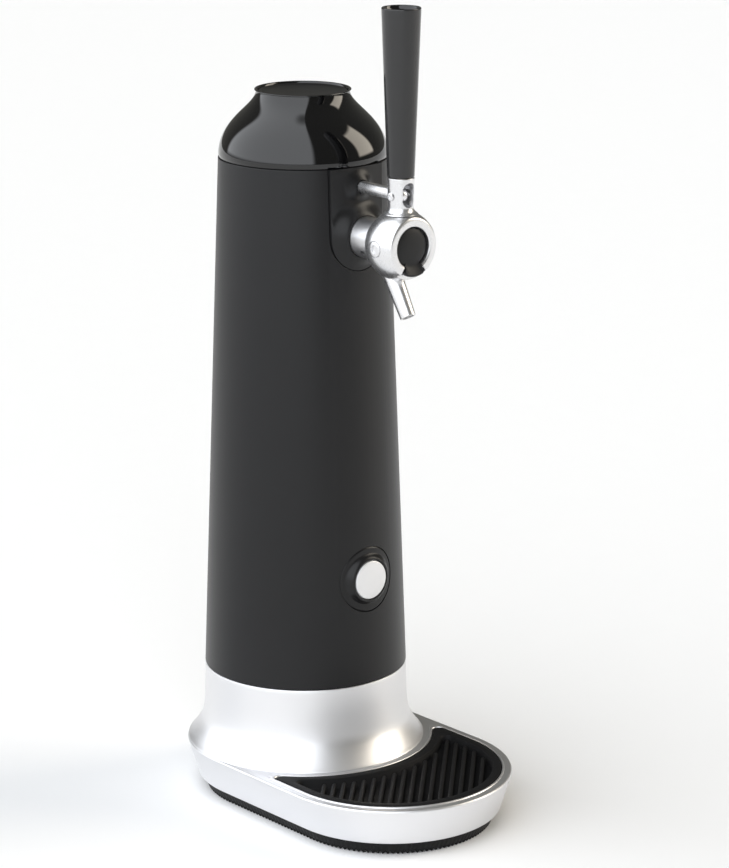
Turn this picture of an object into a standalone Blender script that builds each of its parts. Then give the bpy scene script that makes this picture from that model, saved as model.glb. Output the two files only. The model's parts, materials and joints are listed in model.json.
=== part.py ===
"""Countertop draft beer dispenser: a tower over a can or bottle, a lever tap and a drip tray.

Frame: metres, +Z up, the tap faces -Y, and the origin is on the tower's axis at the table.
Each sub-part is its own object. The pieces of one moving body share a parent empty,
which stands on the axis of that body's joint.
"""

import math

import bmesh
import bpy
from mathutils import Matrix, Vector
from mathutils.geometry import interpolate_bezier

MM = 0.001
GAP = 0.3 * MM  # between two pieces that touch

# Base: both ends are round, the rear one about the tower's axis.
BASE_R = 59.1 * MM
BASE_LENGTH = 64.2 * MM  # between the centres of the two ends
DECK_Z = 25.6 * MM
SKIRT_Z = 6.9 * MM
SKIRT_R = 54.2 * MM
FOOT_R = 49.8 * MM

# Tower
COLLAR_TOP_Z = 64.9 * MM
HOUSING_LOW = (50.13 * MM, 65.2 * MM)  # outer radius, height
HOUSING_HIGH = (40.88 * MM, 319.2 * MM)
WALL = 2.2 * MM
CAP_TOP_Z = 351.6 * MM
CAP_NECK_R = 22.5 * MM
DRAIN_LEAN = 55  # degrees from straight down, towards -X
CHAMBER_R = 39.5 * MM
CHAMBER_ROOF_Z = 266.5 * MM
PLATE_Z = 271.8 * MM  # top of the plate that carries the pump and the electronics

# Tap: the lever turns about X through the middle of the ball.
PIVOT = Vector((0, -70.5 * MM, 286.5 * MM))
BALL_R = 16.7 * MM
CAVITY_R = 14.3 * MM
RING_Y = -9.3 * MM  # front face of the ball, from the pivot
OPENING_R = 9.9 * MM
SHANK_R = 9.8 * MM
ROD_RISE = 23.5 * MM  # push rod above the pivot
ROD_R = 2.95 * MM
HANDLE_LOW = (6.4 * MM, 318.8 * MM)
HANDLE_HIGH = (9.25 * MM, 397.3 * MM)
SPOUT_TILT = math.radians(31)
SPOUT_TIP = Vector((0, -76.0 * MM, 252.8 * MM))
TUBE_R = 2.2 * MM

# Faceplate and button
PANEL_HALF = 16.5 * MM
BUTTON_Z = 117.5 * MM
BEZEL_R = 16.3 * MM
BUTTON_R = 9.5 * MM

# Drip tray: a crescent between the tower's foot and the base's front rim
TRAY_HOLLOW_R = 63.5 * MM
TRAY_SIDE_R = 54.6 * MM
TRAY_CORNER_R = 3.2 * MM
TRAY_FLOOR_Z = 19.4 * MM
RIB_PITCH = 4.7 * MM

ROUND = 40  # sides of a large round piece
INNER = 28
MIDDLE = 20
SMALL = 10

SILVER = ("satin_silver", (0.80, 0.80, 0.82), 0.32, 0.85)
BLACK = ("matte_black", (0.040, 0.040, 0.043), 0.50, 0.0)
GLOSS = ("gloss_black", (0.012, 0.012, 0.013), 0.08, 0.0)
HANDLE_GREY = ("handle_grey", (0.075, 0.075, 0.077), 0.42, 0.0)
RUBBER = ("black_rubber", (0.020, 0.020, 0.021), 0.70, 0.0)
CLEAR_TUBE = ("silicone", (0.75, 0.75, 0.72), 0.40, 0.0)
NATURAL = ("natural_plastic", (0.62, 0.62, 0.60), 0.45, 0.0)
STEEL = ("steel", (0.60, 0.60, 0.60), 0.30, 1.0)
BRASS = ("brass", (0.72, 0.52, 0.20), 0.30, 1.0)
BOARD_GREEN = ("board_green", (0.03, 0.20, 0.08), 0.45, 0.0)
CELL = ("cell_sleeve", (0.10, 0.12, 0.16), 0.30, 0.2)
CERAMIC = ("piezo_ceramic", (0.72, 0.66, 0.52), 0.50, 0.0)
BUTTON_WHITE = ("button_white", (0.82, 0.82, 0.82), 0.35, 0.1)


def mm(*values):
    """Millimetres to metres, for points written out in a sub-part."""
    return tuple(value * MM for value in values)


def clear_scene():
    for old in list(bpy.data.objects):
        bpy.data.objects.remove(old, do_unlink=True)


def material(name, colour, roughness, metallic):
    found = bpy.data.materials.get(name)
    if found:
        return found
    made = bpy.data.materials.new(name)
    made.use_nodes = True
    shader = made.node_tree.nodes["Principled BSDF"]
    shader.inputs["Base Color"].default_value = (*colour, 1)
    shader.inputs["Roughness"].default_value = roughness
    shader.inputs["Metallic"].default_value = metallic
    return made


def empty(name, at, parent=None):
    made = bpy.data.objects.new(name, None)
    made.empty_display_size = 0.02
    bpy.context.scene.collection.objects.link(made)
    place(made, at, parent)
    return made


def place(obj, at, parent):
    """Puts an object's origin at a world point, under an unrotated chain of parents."""
    obj.parent = parent
    offset = Vector(at)
    while parent:
        offset -= parent.location
        parent = parent.parent
    obj.location = offset


def mesh_object(name, bm, finish, at=(0, 0, 0), parent=None):
    bmesh.ops.recalc_face_normals(bm, faces=bm.faces)
    mesh = bpy.data.meshes.new(name)
    bm.to_mesh(mesh)
    bm.free()
    mesh.shade_smooth()
    mesh.set_sharp_from_angle(angle=math.radians(30))
    obj = bpy.data.objects.new(name, mesh)
    bpy.context.scene.collection.objects.link(obj)
    place(obj, at, parent)
    if finish:
        mesh.materials.append(material(*finish))
    else:
        obj.hide_render = True
        obj.display_type = "WIRE"
    return obj


def bridge(bm, rings, closed):
    """Faces between neighbouring rings of vertices. A ring of one vertex is a pole."""
    pairs = list(zip(rings, rings[1:] + rings[:1] if closed else rings[1:]))
    for one, two in pairs:
        count = max(len(one), len(two))
        for index in range(count if count > 1 else 0):
            after = (index + 1) % count
            corners = [one[index % len(one)], one[after % len(one)]]
            corners += [two[after % len(two)], two[index % len(two)]]
            bm.faces.new(dict.fromkeys(corners))


def turned_mesh(outline, axis="Z", sides=SMALL):
    """A closed outline of (radius, height) points turned about an axis."""
    bm = bmesh.new()
    rings = []
    for radius, height in outline:
        ring = []
        for side in range(1 if radius == 0 else sides):
            angle = 2 * math.pi * side / sides
            x, y = radius * math.cos(angle), radius * math.sin(angle)
            point = {"Z": (x, y, height), "Y": (x, height, y), "X": (height, x, y)}[axis]
            ring.append(bm.verts.new(point))
        rings.append(ring)
    bridge(bm, rings, closed=True)
    return bm


def turned(name, outline, finish, axis="Z", sides=SMALL, at=(0, 0, 0), parent=None):
    return mesh_object(name, turned_mesh(outline, axis, sides), finish, at, parent)


def rod_outline(radius, low, high, chamfer=0.0):
    """A plain round bar from low to high along its axis."""
    if not chamfer:
        return [(0, low), (radius, low), (radius, high), (0, high)]
    return [(0, low), (radius - chamfer, low), (radius, low + chamfer),
            (radius, high - chamfer), (radius - chamfer, high), (0, high)]


def ring_outline(inner, outer, low, high):
    return [(inner, low), (outer, low), (outer, high), (inner, high)]


def arc(centre, radius, start, end, steps):
    """Points on an arc, by angles in degrees from the first axis."""
    points = []
    for step in range(steps + 1):
        angle = math.radians(start + (end - start) * step / steps)
        points.append((centre[0] + radius * math.cos(angle), centre[1] + radius * math.sin(angle)))
    return points


def extruded_mesh(outline, axis, low, high):
    """A flat outline extruded along an axis: (x, y) along Z, (x, z) along Y, (y, z) along X."""
    bm = bmesh.new()
    rings = []
    for level in (low, high):
        ring = []
        for one, two in outline:
            point = {"Z": (one, two, level), "Y": (one, level, two), "X": (level, one, two)}[axis]
            ring.append(bm.verts.new(point))
        rings.append(ring)
    bridge(bm, rings, closed=False)
    for ring in rings:
        bm.faces.new(ring)
    return bm


def extruded(name, outline, axis, low, high, finish, at=(0, 0, 0), parent=None):
    return mesh_object(name, extruded_mesh(outline, axis, low, high), finish, at, parent)


def box(name, low, high, finish, at=(0, 0, 0), parent=None, bevel=0.0):
    outline = [(low[0], low[1]), (high[0], low[1]), (high[0], high[1]), (low[0], high[1])]
    obj = extruded(name, outline, "Z", low[2], high[2], finish, at, parent)
    if bevel:
        softened = obj.modifiers.new("Bevel", "BEVEL")
        softened.width = bevel
        softened.segments = 1
    return obj


def boolean(obj, operation, others):
    """One Boolean of all the given helpers, which move to a collection of their own."""
    group = bpy.data.collections.new(f"{obj.name}_{operation.lower()}")
    bpy.context.scene.collection.children.link(group)
    group.hide_render = True
    for other in others:
        for holder in list(other.users_collection):
            holder.objects.unlink(other)
        group.objects.link(other)
    modifier = obj.modifiers.new(operation.title(), "BOOLEAN")
    modifier.operation = operation
    modifier.operand_type = "COLLECTION"
    modifier.collection = group


def cut(obj, *cutters):
    boolean(obj, "DIFFERENCE", cutters)


def join(obj, *others):
    boolean(obj, "UNION", others)


def keep_inside(obj, limit):
    boolean(obj, "INTERSECT", [limit])


def hole(name, radius, low, high, axis="Z", at=(0, 0, 0), sides=SMALL):
    """A round cutter."""
    return turned(name, rod_outline(radius, low, high), None, axis, sides, at)


def curve_tube(name, points, radius, finish, parent=None):
    curve = bpy.data.curves.new(name, "CURVE")
    curve.dimensions = "3D"
    curve.bevel_depth = radius
    curve.bevel_resolution = 2
    curve.use_fill_caps = True
    spline = curve.splines.new("POLY")
    spline.points.add(len(points) - 1)
    for target, point in zip(spline.points, points):
        target.co = (*point, 1)
    obj = bpy.data.objects.new(name, curve)
    bpy.context.scene.collection.objects.link(obj)
    place(obj, (0, 0, 0), parent)
    if finish:
        curve.materials.append(material(*finish))
    return obj


def base_outline(radius, steps=16):
    """The base's plan at an offset: half a circle at each end, joined by straight sides."""
    rear = arc((0, 0), radius, 0, 180, steps)
    front = arc((0, -BASE_LENGTH), radius, 180, 360, steps)
    return rear + front


def base_loft(profile):
    """A solid with flat ends, through the base's plan at each (offset, height)."""
    bm = bmesh.new()
    rings = []
    for radius, height in profile:
        rings.append([bm.verts.new((x, y, height)) for x, y in base_outline(radius)])
    bridge(bm, rings, closed=False)
    bm.faces.new(rings[0])
    bm.faces.new(rings[-1])
    return bm


def crescent(inset, steps=11):
    """The drip tray's plan: hollow towards the tower, round in front, with small rounded tips."""
    hollow = TRAY_HOLLOW_R + inset
    side = TRAY_SIDE_R - inset
    corner_x = side - TRAY_CORNER_R
    corner_y = -math.sqrt((hollow + TRAY_CORNER_R) ** 2 - corner_x**2)
    inward = math.degrees(math.atan2(-corner_y, -corner_x))
    right = arc((corner_x, corner_y), TRAY_CORNER_R, inward, 0, 5)
    front = arc((0, -BASE_LENGTH), side, 0, -180, 2 * steps)
    left = [(-x, y) for x, y in reversed(right)]
    end = math.degrees(math.atan2(corner_y, corner_x))
    rear = arc((0, 0), hollow, -180 - end, end, steps)
    return right + front + left + rear[1:-1]


def housing_radius(height):
    """Outer radius of the tapered housing at a height."""
    share = (height - HOUSING_LOW[1]) / (HOUSING_HIGH[1] - HOUSING_LOW[1])
    return HOUSING_LOW[0] + share * (HOUSING_HIGH[0] - HOUSING_LOW[0])


def taper_block(low, high):
    """A solid piece of the housing's outer taper, to give inserts a flush face."""
    outline = rod_outline(1, low, high)
    outline[1] = (housing_radius(low), low)
    outline[2] = (housing_radius(high), high)
    return turned_mesh(outline, sides=ROUND)


# Base ---------------------------------------------------------------------------------

BASE_SCREWS = [mm(38, 22), mm(-38, 22), mm(38, -84), mm(-38, -84)]
CUP_SCREWS = [(30 * MM * math.cos(math.radians(a)), 30 * MM * math.sin(math.radians(a)))
              for a in (90, 210, 330)]


def screw_outline(head_low, head_high, tip, head_r=3.2 * MM, shank_r=1.5 * MM):
    """A pan head from head_low to head_high, and a plain shank from there to the tip."""
    return [(0, head_low), (head_r * 0.8, head_low), (head_r, (head_low + head_high) / 2),
            (head_r, head_high), (shank_r, head_high), (shank_r, tip), (0, tip)]


def make_base(root):
    foot = mesh_object("base_foot", base_loft([(FOOT_R, 0), (52.8 * MM, SKIRT_Z - GAP)]),
                       RUBBER, parent=root)
    plate_top = 9.2 * MM
    floor = mesh_object("base_floor", base_loft([(51.3 * MM, SKIRT_Z), (51.3 * MM, plate_top)]),
                        BLACK, parent=root)
    rim = 2.0 * MM
    deck_under = 22.8 * MM
    shell = mesh_object("base_shell", base_loft([
        (BASE_R - WALL, deck_under), (SKIRT_R - 2.1 * MM, SKIRT_Z), (SKIRT_R, SKIRT_Z),
        (BASE_R, DECK_Z - rim), (BASE_R - 0.6 * MM, DECK_Z - 0.6 * MM), (BASE_R - rim, DECK_Z),
    ]), SILVER, parent=root)
    lip = extruded("tray_lip", crescent(-1.3 * MM), "Z", DECK_Z - 0.4 * MM, DECK_Z + 0.7 * MM, None)
    well = extruded("tray_well", crescent(-1.8 * MM), "Z", 17.6 * MM, DECK_Z - 1.6 * MM, None)
    recess = extruded("tray_recess", crescent(0), "Z", TRAY_FLOOR_Z, DECK_Z + 8 * MM, None)
    bosses, shell_cuts, floor_holes, foot_holes = [lip, well], [recess], [], []
    for index, (x, y) in enumerate(BASE_SCREWS):
        top = 18.0 * MM if y < -30 * MM else 23.5 * MM
        at = (x, y, 0)
        boss = rod_outline(3.5 * MM, plate_top + GAP, top)
        bosses.append(turned(f"boss_{index}", boss, None, at=at))
        shell_cuts.append(hole(f"boss_hole_{index}", 1.8 * MM, 5 * MM, 16.8 * MM, at=at))
        floor_holes.append(hole(f"floor_hole_{index}", 1.9 * MM, 5 * MM, 12 * MM, at=at))
        foot_holes.append(hole(f"foot_hole_{index}", 4.2 * MM, -2 * MM, 9 * MM, at=at))
        turned(f"base_screw_{index + 1}", screw_outline(4.2 * MM, SKIRT_Z - GAP, 16.2 * MM),
               STEEL, at=at, parent=root)
    cut(floor, *floor_holes)
    cut(foot, *foot_holes)

    turned("pedestal_collar", [
        mm(59.0, 25.9), mm(58.7, 26.4), mm(56.9, 27.6), mm(54.9, 30.0), mm(53.2, 33.0),
        mm(51.7, 37.0), mm(50.9, 42.0), mm(50.4, 50.0), (50.1 * MM, COLLAR_TOP_Z),
        (47.9 * MM, COLLAR_TOP_Z), mm(47.9, 61.2), mm(44.6, 61.2), mm(44.6, 58.2),
        mm(47.9, 58.2), mm(48.6, 42.0), mm(51.2, 32.5), mm(55.5, 25.9),
    ], SILVER, sides=ROUND, parent=root)

    cup = turned("can_cup", [
        mm(0, 25.9), mm(42.4, 25.9), mm(42.4, 61.5), mm(47.3, 61.5), mm(47.3, 63.6),
        mm(42.4, 63.6), mm(42.4, 84.5), mm(39.9, 84.5), mm(39.9, 79.0), mm(41.8, 79.0),
        mm(41.8, 76.4), mm(39.9, 76.4), mm(39.9, 33.0), mm(0, 33.0),
    ], BLACK, sides=INNER, parent=root)
    cup_holes = []
    for index, (x, y) in enumerate(CUP_SCREWS):
        at = (x, y, 0)
        shell_cuts.append(hole(f"deck_hole_{index}", 1.9 * MM, 20 * MM, 30 * MM, at=at))
        cup_holes.append(hole(f"cup_hole_{index}", 1.8 * MM, 24 * MM, 31 * MM, at=at))
        turned(f"cup_screw_{index + 1}", screw_outline(20.2 * MM, 22.5 * MM, 30.5 * MM),
               STEEL, at=at, parent=root)
    join(shell, *bosses)
    cut(shell, *shell_cuts)
    cut(cup, *cup_holes)
    turned("can_pad", [mm(0, 33.3), mm(37.5, 33.3), mm(37.5, 34.6), mm(36.8, 35.3), mm(0, 35.3)],
           RUBBER, sides=INNER, parent=root)
    turned("base_seal", arc(mm(40.65, 77.7), 0.85 * MM, 0, 300, 5), RUBBER, sides=INNER, parent=root)


# Drip tray ----------------------------------------------------------------------------

def make_drip_tray(body):
    top = DECK_Z + 0.6 * MM
    pocket_floor = 21.4 * MM
    tray = extruded("drip_tray", crescent(0.35 * MM), "Z", TRAY_FLOOR_Z + GAP, top, RUBBER,
                    parent=body)
    pocket = crescent(4.9 * MM)
    cut(tray, extruded("tray_pocket", pocket, "Z", pocket_floor, top + 5 * MM, None))
    bars = bmesh.new()
    half_width = 1.0 * MM
    for index in range(18):
        across = 14.9 * MM + index * RIB_PITCH
        bar = bmesh.ops.create_cube(bars, size=1)["verts"]
        size = Matrix.Diagonal((2 * half_width, 150 * MM, 4.2 * MM, 1))
        shift = Matrix.Translation((across, 0, pocket_floor + 1.6 * MM))
        # Each bar runs at 45 degrees across the tray, at its own distance from the origin.
        turn = Matrix.Rotation(math.radians(-45), 4, "Z")
        bmesh.ops.transform(bars, matrix=turn @ shift @ size, verts=bar)
    ribs = mesh_object("tray_ribs", bars, None)
    keep_inside(ribs, extruded("rib_limit", crescent(5.6 * MM), "Z",
                               pocket_floor - 0.5 * MM, pocket_floor + 3.4 * MM, None))
    join(tray, ribs)


# Tower --------------------------------------------------------------------------------

DECK_SCREWS = [mm(33, 4), mm(-26, 20), mm(-9, -31)]
AIR_FITTING = Vector(mm(-20, -20, 0))
RELIEF_VALVE = Vector(mm(25, -8, 0))
PUMP = Vector(mm(-22, 2, 0))
TUBE_BEND = 18 * MM  # beer tube, from the chamber's roof into the shank
TUBE_DROP = 16 * MM  # beer tube, from the shank into the spout
TUBE_Z = CHAMBER_ROOF_Z + TUBE_BEND
TUBE_Y = -8 * MM


def beer_route():
    """Up from the bottom of the can, forward into the shank, then down into the spout."""
    down = Vector((0, -math.sin(SPOUT_TILT), -math.cos(SPOUT_TILT)))
    # Where the level run must start to drop, for the arc to end on the spout's axis.
    angle = math.pi / 2 - SPOUT_TILT
    fall = TUBE_DROP * (1 - math.cos(angle))
    on_axis = SPOUT_TIP - down * ((TUBE_Z - fall - SPOUT_TIP.z) / math.cos(SPOUT_TILT))
    drop_y = on_axis.y + TUBE_DROP * math.sin(angle)
    route = [Vector((0, TUBE_Y, 42 * MM + step * 12.4 * MM)) for step in range(18)]
    for y, z in arc((TUBE_Y - TUBE_BEND, CHAMBER_ROOF_Z), TUBE_BEND, 0, 90, 8):
        route.append(Vector((0, y, z)))
    route.append(Vector((0, (TUBE_Y - TUBE_BEND + drop_y) / 2, TUBE_Z)))
    for y, z in arc((drop_y, TUBE_Z - TUBE_DROP), TUBE_DROP, 90, 90 + math.degrees(angle), 6):
        route.append(Vector((0, y, z)))
    return route + [(on_axis + SPOUT_TIP) / 2, SPOUT_TIP - down * 2 * MM]


def make_housing(body):
    low, high = HOUSING_LOW[1], HOUSING_HIGH[1]
    rib_low, rib_high, rib_r = 266.9 * MM, 269.4 * MM, 37.6 * MM
    shell = turned("housing_shell", [
        HOUSING_LOW, HOUSING_HIGH, (HOUSING_HIGH[0] - WALL, high),
        (housing_radius(rib_high) - WALL, rib_high), (rib_r, rib_high), (rib_r, rib_low),
        (housing_radius(rib_low) - WALL, rib_low), (HOUSING_LOW[0] - WALL, low),
    ], BLACK, sides=ROUND, parent=body)
    cut(shell, extruded("panel_opening", panel_outline(PANEL_HALF), "Y", -60 * MM, -30 * MM, None),
        hole("bezel_opening", BEZEL_R, -60 * MM, -35 * MM, "Y", (0, 0, BUTTON_Z), MIDDLE))

    roof = CHAMBER_ROOF_Z
    chamber = turned("pressure_chamber", [
        mm(39.5, 37), (CHAMBER_R, roof), (0, roof), (0, roof - 2.5 * MM),
        (37.5 * MM, roof - 2.5 * MM), mm(37.5, 37),
    ], NATURAL, sides=INNER, parent=body)
    plate = turned("equipment_plate", rod_outline(40.0 * MM, 269.8 * MM, PLATE_Z), BLACK,
                   sides=INNER, parent=body)
    bosses, roof_holes, plate_holes = [], [], []
    for index, (x, y) in enumerate(DECK_SCREWS):
        at = (x, y, 0)
        boss = rod_outline(3.5 * MM, roof - 1 * MM, 269.5 * MM)
        bosses.append(turned(f"roof_boss_{index}", boss, None, at=at))
        roof_holes.append(hole(f"roof_hole_{index}", 1.8 * MM, roof - 0.4 * MM, 275 * MM, at=at))
        plate_holes.append(hole(f"plate_hole_{index}", 1.9 * MM, 265 * MM, 275 * MM, at=at))
        turned(f"plate_screw_{index + 1}", screw_outline(274.1 * MM, PLATE_Z + GAP, roof), STEEL,
               at=at, parent=body)
    for name, at, roof_r, plate_r in (
        ("tube", Vector((0, TUBE_Y, 0)), 4.5 * MM, 4.2 * MM),
        ("air", AIR_FITTING, 3.2 * MM, 4.6 * MM),
        ("relief", RELIEF_VALVE, 3.2 * MM, 4.6 * MM),
    ):
        roof_holes.append(hole(f"{name}_roof_hole", roof_r, 255 * MM, 268 * MM, at=at))
        plate_holes.append(hole(f"{name}_plate_hole", plate_r, 268 * MM, 275 * MM, at=at))
    join(chamber, *bosses)
    cut(chamber, *roof_holes)
    cut(plate, *plate_holes)
    turned("tube_grommet", [
        mm(2.6, 262.6), mm(6.0, 262.6), mm(6.0, 263.7), mm(4.2, 263.7), mm(4.2, 266.8),
        mm(6.0, 266.8), mm(6.0, 268.2), mm(2.6, 268.2),
    ], RUBBER, at=(0, TUBE_Y, 0), parent=body)
    turned("air_fitting", [
        mm(0.9, 262), mm(2.9, 262), mm(2.9, 266.8), mm(4.2, 266.8), mm(4.2, 269.0), mm(2.0, 269.0),
        mm(1.6, 276.0), mm(0.9, 276.0),
    ], NATURAL, sides=12, at=AIR_FITTING, parent=body)
    turned("relief_valve", [
        mm(0, 262), mm(2.9, 262), mm(2.9, 266.8), mm(4.2, 266.8), mm(4.2, 275.0), mm(2.6, 277.0),
        mm(0, 277.0),
    ], BRASS, sides=12, at=RELIEF_VALVE, parent=body)
    curve_tube("beer_tube", beer_route(), TUBE_R, CLEAR_TUBE, body)


def panel_outline(half):
    """The faceplate's outline from the front: round at the bottom about the shank, open at the top."""
    top = HOUSING_HIGH[1] + 12 * MM
    return arc((0, 286 * MM), half, 180, 360, 14) + [(half, top), (-half, top)]


def make_tap_panel(body):
    low, high = 268.5 * MM, HOUSING_HIGH[1]
    panel = mesh_object("tap_panel", taper_block(low, high), BLACK, parent=body)
    back = -36.5 * MM
    keep_inside(panel, extruded("panel_slab", panel_outline(PANEL_HALF - GAP), "Y", -60 * MM, back,
                                None))
    # A soft rise stands round the shank and a smaller one round the push rod.
    rod_z = PIVOT.z + ROD_RISE
    shank_rise = [mm(0, -38.5), mm(15.3, -38.5), mm(15.0, -40.5), mm(12.8, -42.6), mm(11.3, -45.2),
                  mm(10.6, -45.6), mm(0, -45.6)]
    rod_rise = [mm(0, -38.5), mm(7.6, -38.5), mm(7.4, -40.6), mm(5.4, -41.9), mm(4.2, -43.2),
                mm(0, -43.3)]
    join(panel, turned("shank_rise", shank_rise, None, "Y", MIDDLE, (0, 0, PIVOT.z)),
         turned("rod_rise", rod_rise, None, "Y", 16, (0, 0, rod_z)))
    cut(panel, hole("cap_relief", 38.7 * MM, 316.6 * MM, 330 * MM, sides=ROUND),
        hole("plate_relief", 40.3 * MM, 260 * MM, 272.1 * MM, sides=ROUND),
        hole("shank_hole", SHANK_R + GAP, -60 * MM, -30 * MM, "Y", (0, 0, PIVOT.z), MIDDLE),
        hole("rod_hole", ROD_R + 0.4 * MM, -60 * MM, -30 * MM, "Y", (0, 0, rod_z), 16))
    turned("rod_bush", ring_outline(3.35 * MM, 6.3 * MM, -36.2 * MM, -28 * MM), NATURAL, "Y", SMALL,
           (0, 0, rod_z), body)


def make_button_bezel(body):
    block = taper_block(BUTTON_Z - 20 * MM, BUTTON_Z + 20 * MM)
    bezel = mesh_object("button_bezel", block, BLACK, parent=body)
    slab = turned("bezel_slab", rod_outline(BEZEL_R - GAP, -60 * MM, -44 * MM), None, "Y", MIDDLE,
                  (0, 0, BUTTON_Z))
    keep_inside(bezel, slab)
    rise = [mm(0, -45.1), mm(14.6, -45.1), mm(14.0, -47.4), mm(11.8, -48.5), mm(10.8, -49.5),
            mm(10.4, -49.7), mm(0, -49.7)]
    join(bezel, turned("button_rise", rise, None, "Y", MIDDLE, (0, 0, BUTTON_Z)))
    bore = [mm(0, -60), mm(9.8, -60), mm(9.8, -47.9), mm(11.2, -47.9), mm(11.2, -40), mm(0, -40)]
    cut(bezel, turned("button_bore", bore, None, "Y", MIDDLE, (0, 0, BUTTON_Z)))
    box("switch_board", mm(-9, -41.0, -8), mm(9, -40.0, 8), BOARD_GREEN, (0, 0, BUTTON_Z), body)
    switch = box("button_switch", mm(-3, -44.3, -3), mm(3, -41.3, 3), BLACK, (0, 0, BUTTON_Z), body)
    join(switch, hole("switch_plunger", 1.6 * MM, -45.0 * MM, -43 * MM, "Y", (0, 0, BUTTON_Z)))


def make_button(body):
    turned("power_button", [
        mm(0, -50.3), mm(5.5, -50.25), mm(9.0, -50.0), mm(9.5, -49.6), mm(9.5, -47.5),
        mm(10.8, -47.5), mm(10.8, -46.5), mm(0, -46.5),
    ], BUTTON_WHITE, "Y", MIDDLE, (0, 0, BUTTON_Z), body)


# Tap ----------------------------------------------------------------------------------

def sphere_point(radius, angle):
    """(distance from the axis, place along it) on a sphere, by the angle from the axis."""
    return (radius * math.sin(math.radians(angle)), radius * math.cos(math.radians(angle)))


def make_shank(body):
    shank = turned("shank", [
        (SHANK_R, -57.4 * MM), (SHANK_R, -36.4 * MM), mm(8.9, -36.4), mm(8.9, -21), mm(7.1, -21),
        mm(7.1, -52), mm(8.7, -54), mm(8.7, -57.4),
    ], SILVER, "Y", MIDDLE, (0, 0, PIVOT.z), body)
    drain = hole("drain_hole", 1.1 * MM, -14 * MM, -7 * MM, "Z", (0, -54.6 * MM, PIVOT.z), 10)
    drain.rotation_euler.y = math.radians(DRAIN_LEAN)
    cut(shank, drain)
    nut = extruded("shank_nut", arc((0, 0), 13.6 * MM, 0, 300, 5), "Y", -36.2 * MM, -30.5 * MM,
                   BRASS, (0, 0, PIVOT.z), body)
    cut(nut, hole("nut_bore", 9.3 * MM, -40 * MM, -25 * MM, "Y", (0, 0, PIVOT.z), MIDDLE))
    turned("foam_transducer", ring_outline(9.3 * MM, 12.8 * MM, -29.5 * MM, -23.5 * MM), CERAMIC,
           "Y", MIDDLE, (0, 0, PIVOT.z), body)


def make_faucet_body(body):
    """Hollow ball with a ringed front opening, its lower gap, and the spout in one casting."""
    front_angle = math.degrees(math.acos(-RING_Y / BALL_R))
    outline = [sphere_point(BALL_R, 37.5)]
    for step in range(1, 9):
        outline.append(sphere_point(BALL_R, 37.5 + (180 - front_angle - 3 - 37.5) * step / 8))
    ring_r = math.sqrt(BALL_R**2 - RING_Y**2)
    outline += [(ring_r - 0.9 * MM, RING_Y), (OPENING_R + 0.4 * MM, RING_Y), (0, RING_Y)]
    outline += [(0, outline[0][1])]
    ball = turned("faucet_body", outline, SILVER, "Y", MIDDLE, PIVOT, body)

    length = 32 * MM
    taper = [(0, 0), mm(3.4, 0), mm(4.5, 20), (4.7 * MM, length), (0, length)]
    spout = turned("spout_blank", taper, None, "Z", 14, SPOUT_TIP)
    spout.rotation_euler.x = -SPOUT_TILT
    join(ball, spout)

    wall_y = RING_Y + 2.4 * MM
    cavity = [(OPENING_R, RING_Y - 5 * MM), (OPENING_R, wall_y)]
    start = math.degrees(math.acos(wall_y / CAVITY_R))
    for step in range(8):
        cavity.append(sphere_point(CAVITY_R, start + (38.5 - start) * step / 7))
    cavity += [mm(8.9, 12.6), (SHANK_R + GAP, 12.6 * MM), (SHANK_R + GAP, 40 * MM), mm(0, 40)]
    cavity += [(0, RING_Y - 5 * MM)]
    bore = [mm(0, -2), mm(2.65, -2), mm(2.65, 21), mm(4.0, 29), mm(4.0, 34), mm(0, 34)]
    bore = turned("spout_bore", bore, None, "Z", 12, SPOUT_TIP)
    bore.rotation_euler.x = -SPOUT_TILT
    # The lever's stem passes the top slot, and the plug's thumb tab passes the lower gap.
    slot = box("lever_slot", mm(-2.6, -6.3, 10), mm(2.6, 5.5, 20), None, PIVOT)
    reach = 20 * MM
    wedge = [(0, 0), (-reach * math.tan(math.radians(33)), -reach),
             (reach * math.tan(math.radians(33)), -reach)]
    cuts = [turned("ball_cavity", cavity, None, "Y", MIDDLE, PIVOT), bore, slot]
    cuts.append(extruded("tab_gap", wedge, "Y", RING_Y - 3 * MM, wall_y + 0.2 * MM, None, PIVOT))
    for side, name in ((-1, "left"), (1, "right")):
        seat = [(0, 12), (1.85, 12), (1.85, 15.3), (4.05, 15.3), (4.05, 25), (0, 25)]
        seat = [(r * MM, side * h * MM) for r, h in seat]
        cuts.append(turned(f"trunnion_seat_{name}", seat, None, "X", 12, PIVOT))
        pin = [(0, 9.6), (1.5, 9.6), (1.5, 15.6), (3.7, 15.6), (3.7, 16.25), (2.0, 16.55), (0, 16.65)]
        turned(f"trunnion_{name}", [(r * MM, side * h * MM) for r, h in pin], SILVER, "X", 12,
               PIVOT, body)
    cut(ball, *cuts)


def make_faucet_plug(body):
    plug = turned("faucet_plug", [
        mm(0, -8.6), mm(5.5, -8.5), mm(8.9, -8.0), mm(9.45, -7.4), mm(9.45, -5.0), mm(6.0, -5.0),
        mm(6.0, -2.2), mm(0, -2.2),
    ], BLACK, "Y", MIDDLE, PIVOT, body)
    tab = arc((0, 0), 13.5 * MM, 270 - 28, 270 + 28, 6) + arc((0, 0), 7 * MM, 270 + 28, 270 - 28, 3)
    join(plug, extruded("thumb_tab", tab, "Y", RING_Y - 1.2 * MM, RING_Y + 1.9 * MM, None, PIVOT))


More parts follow.
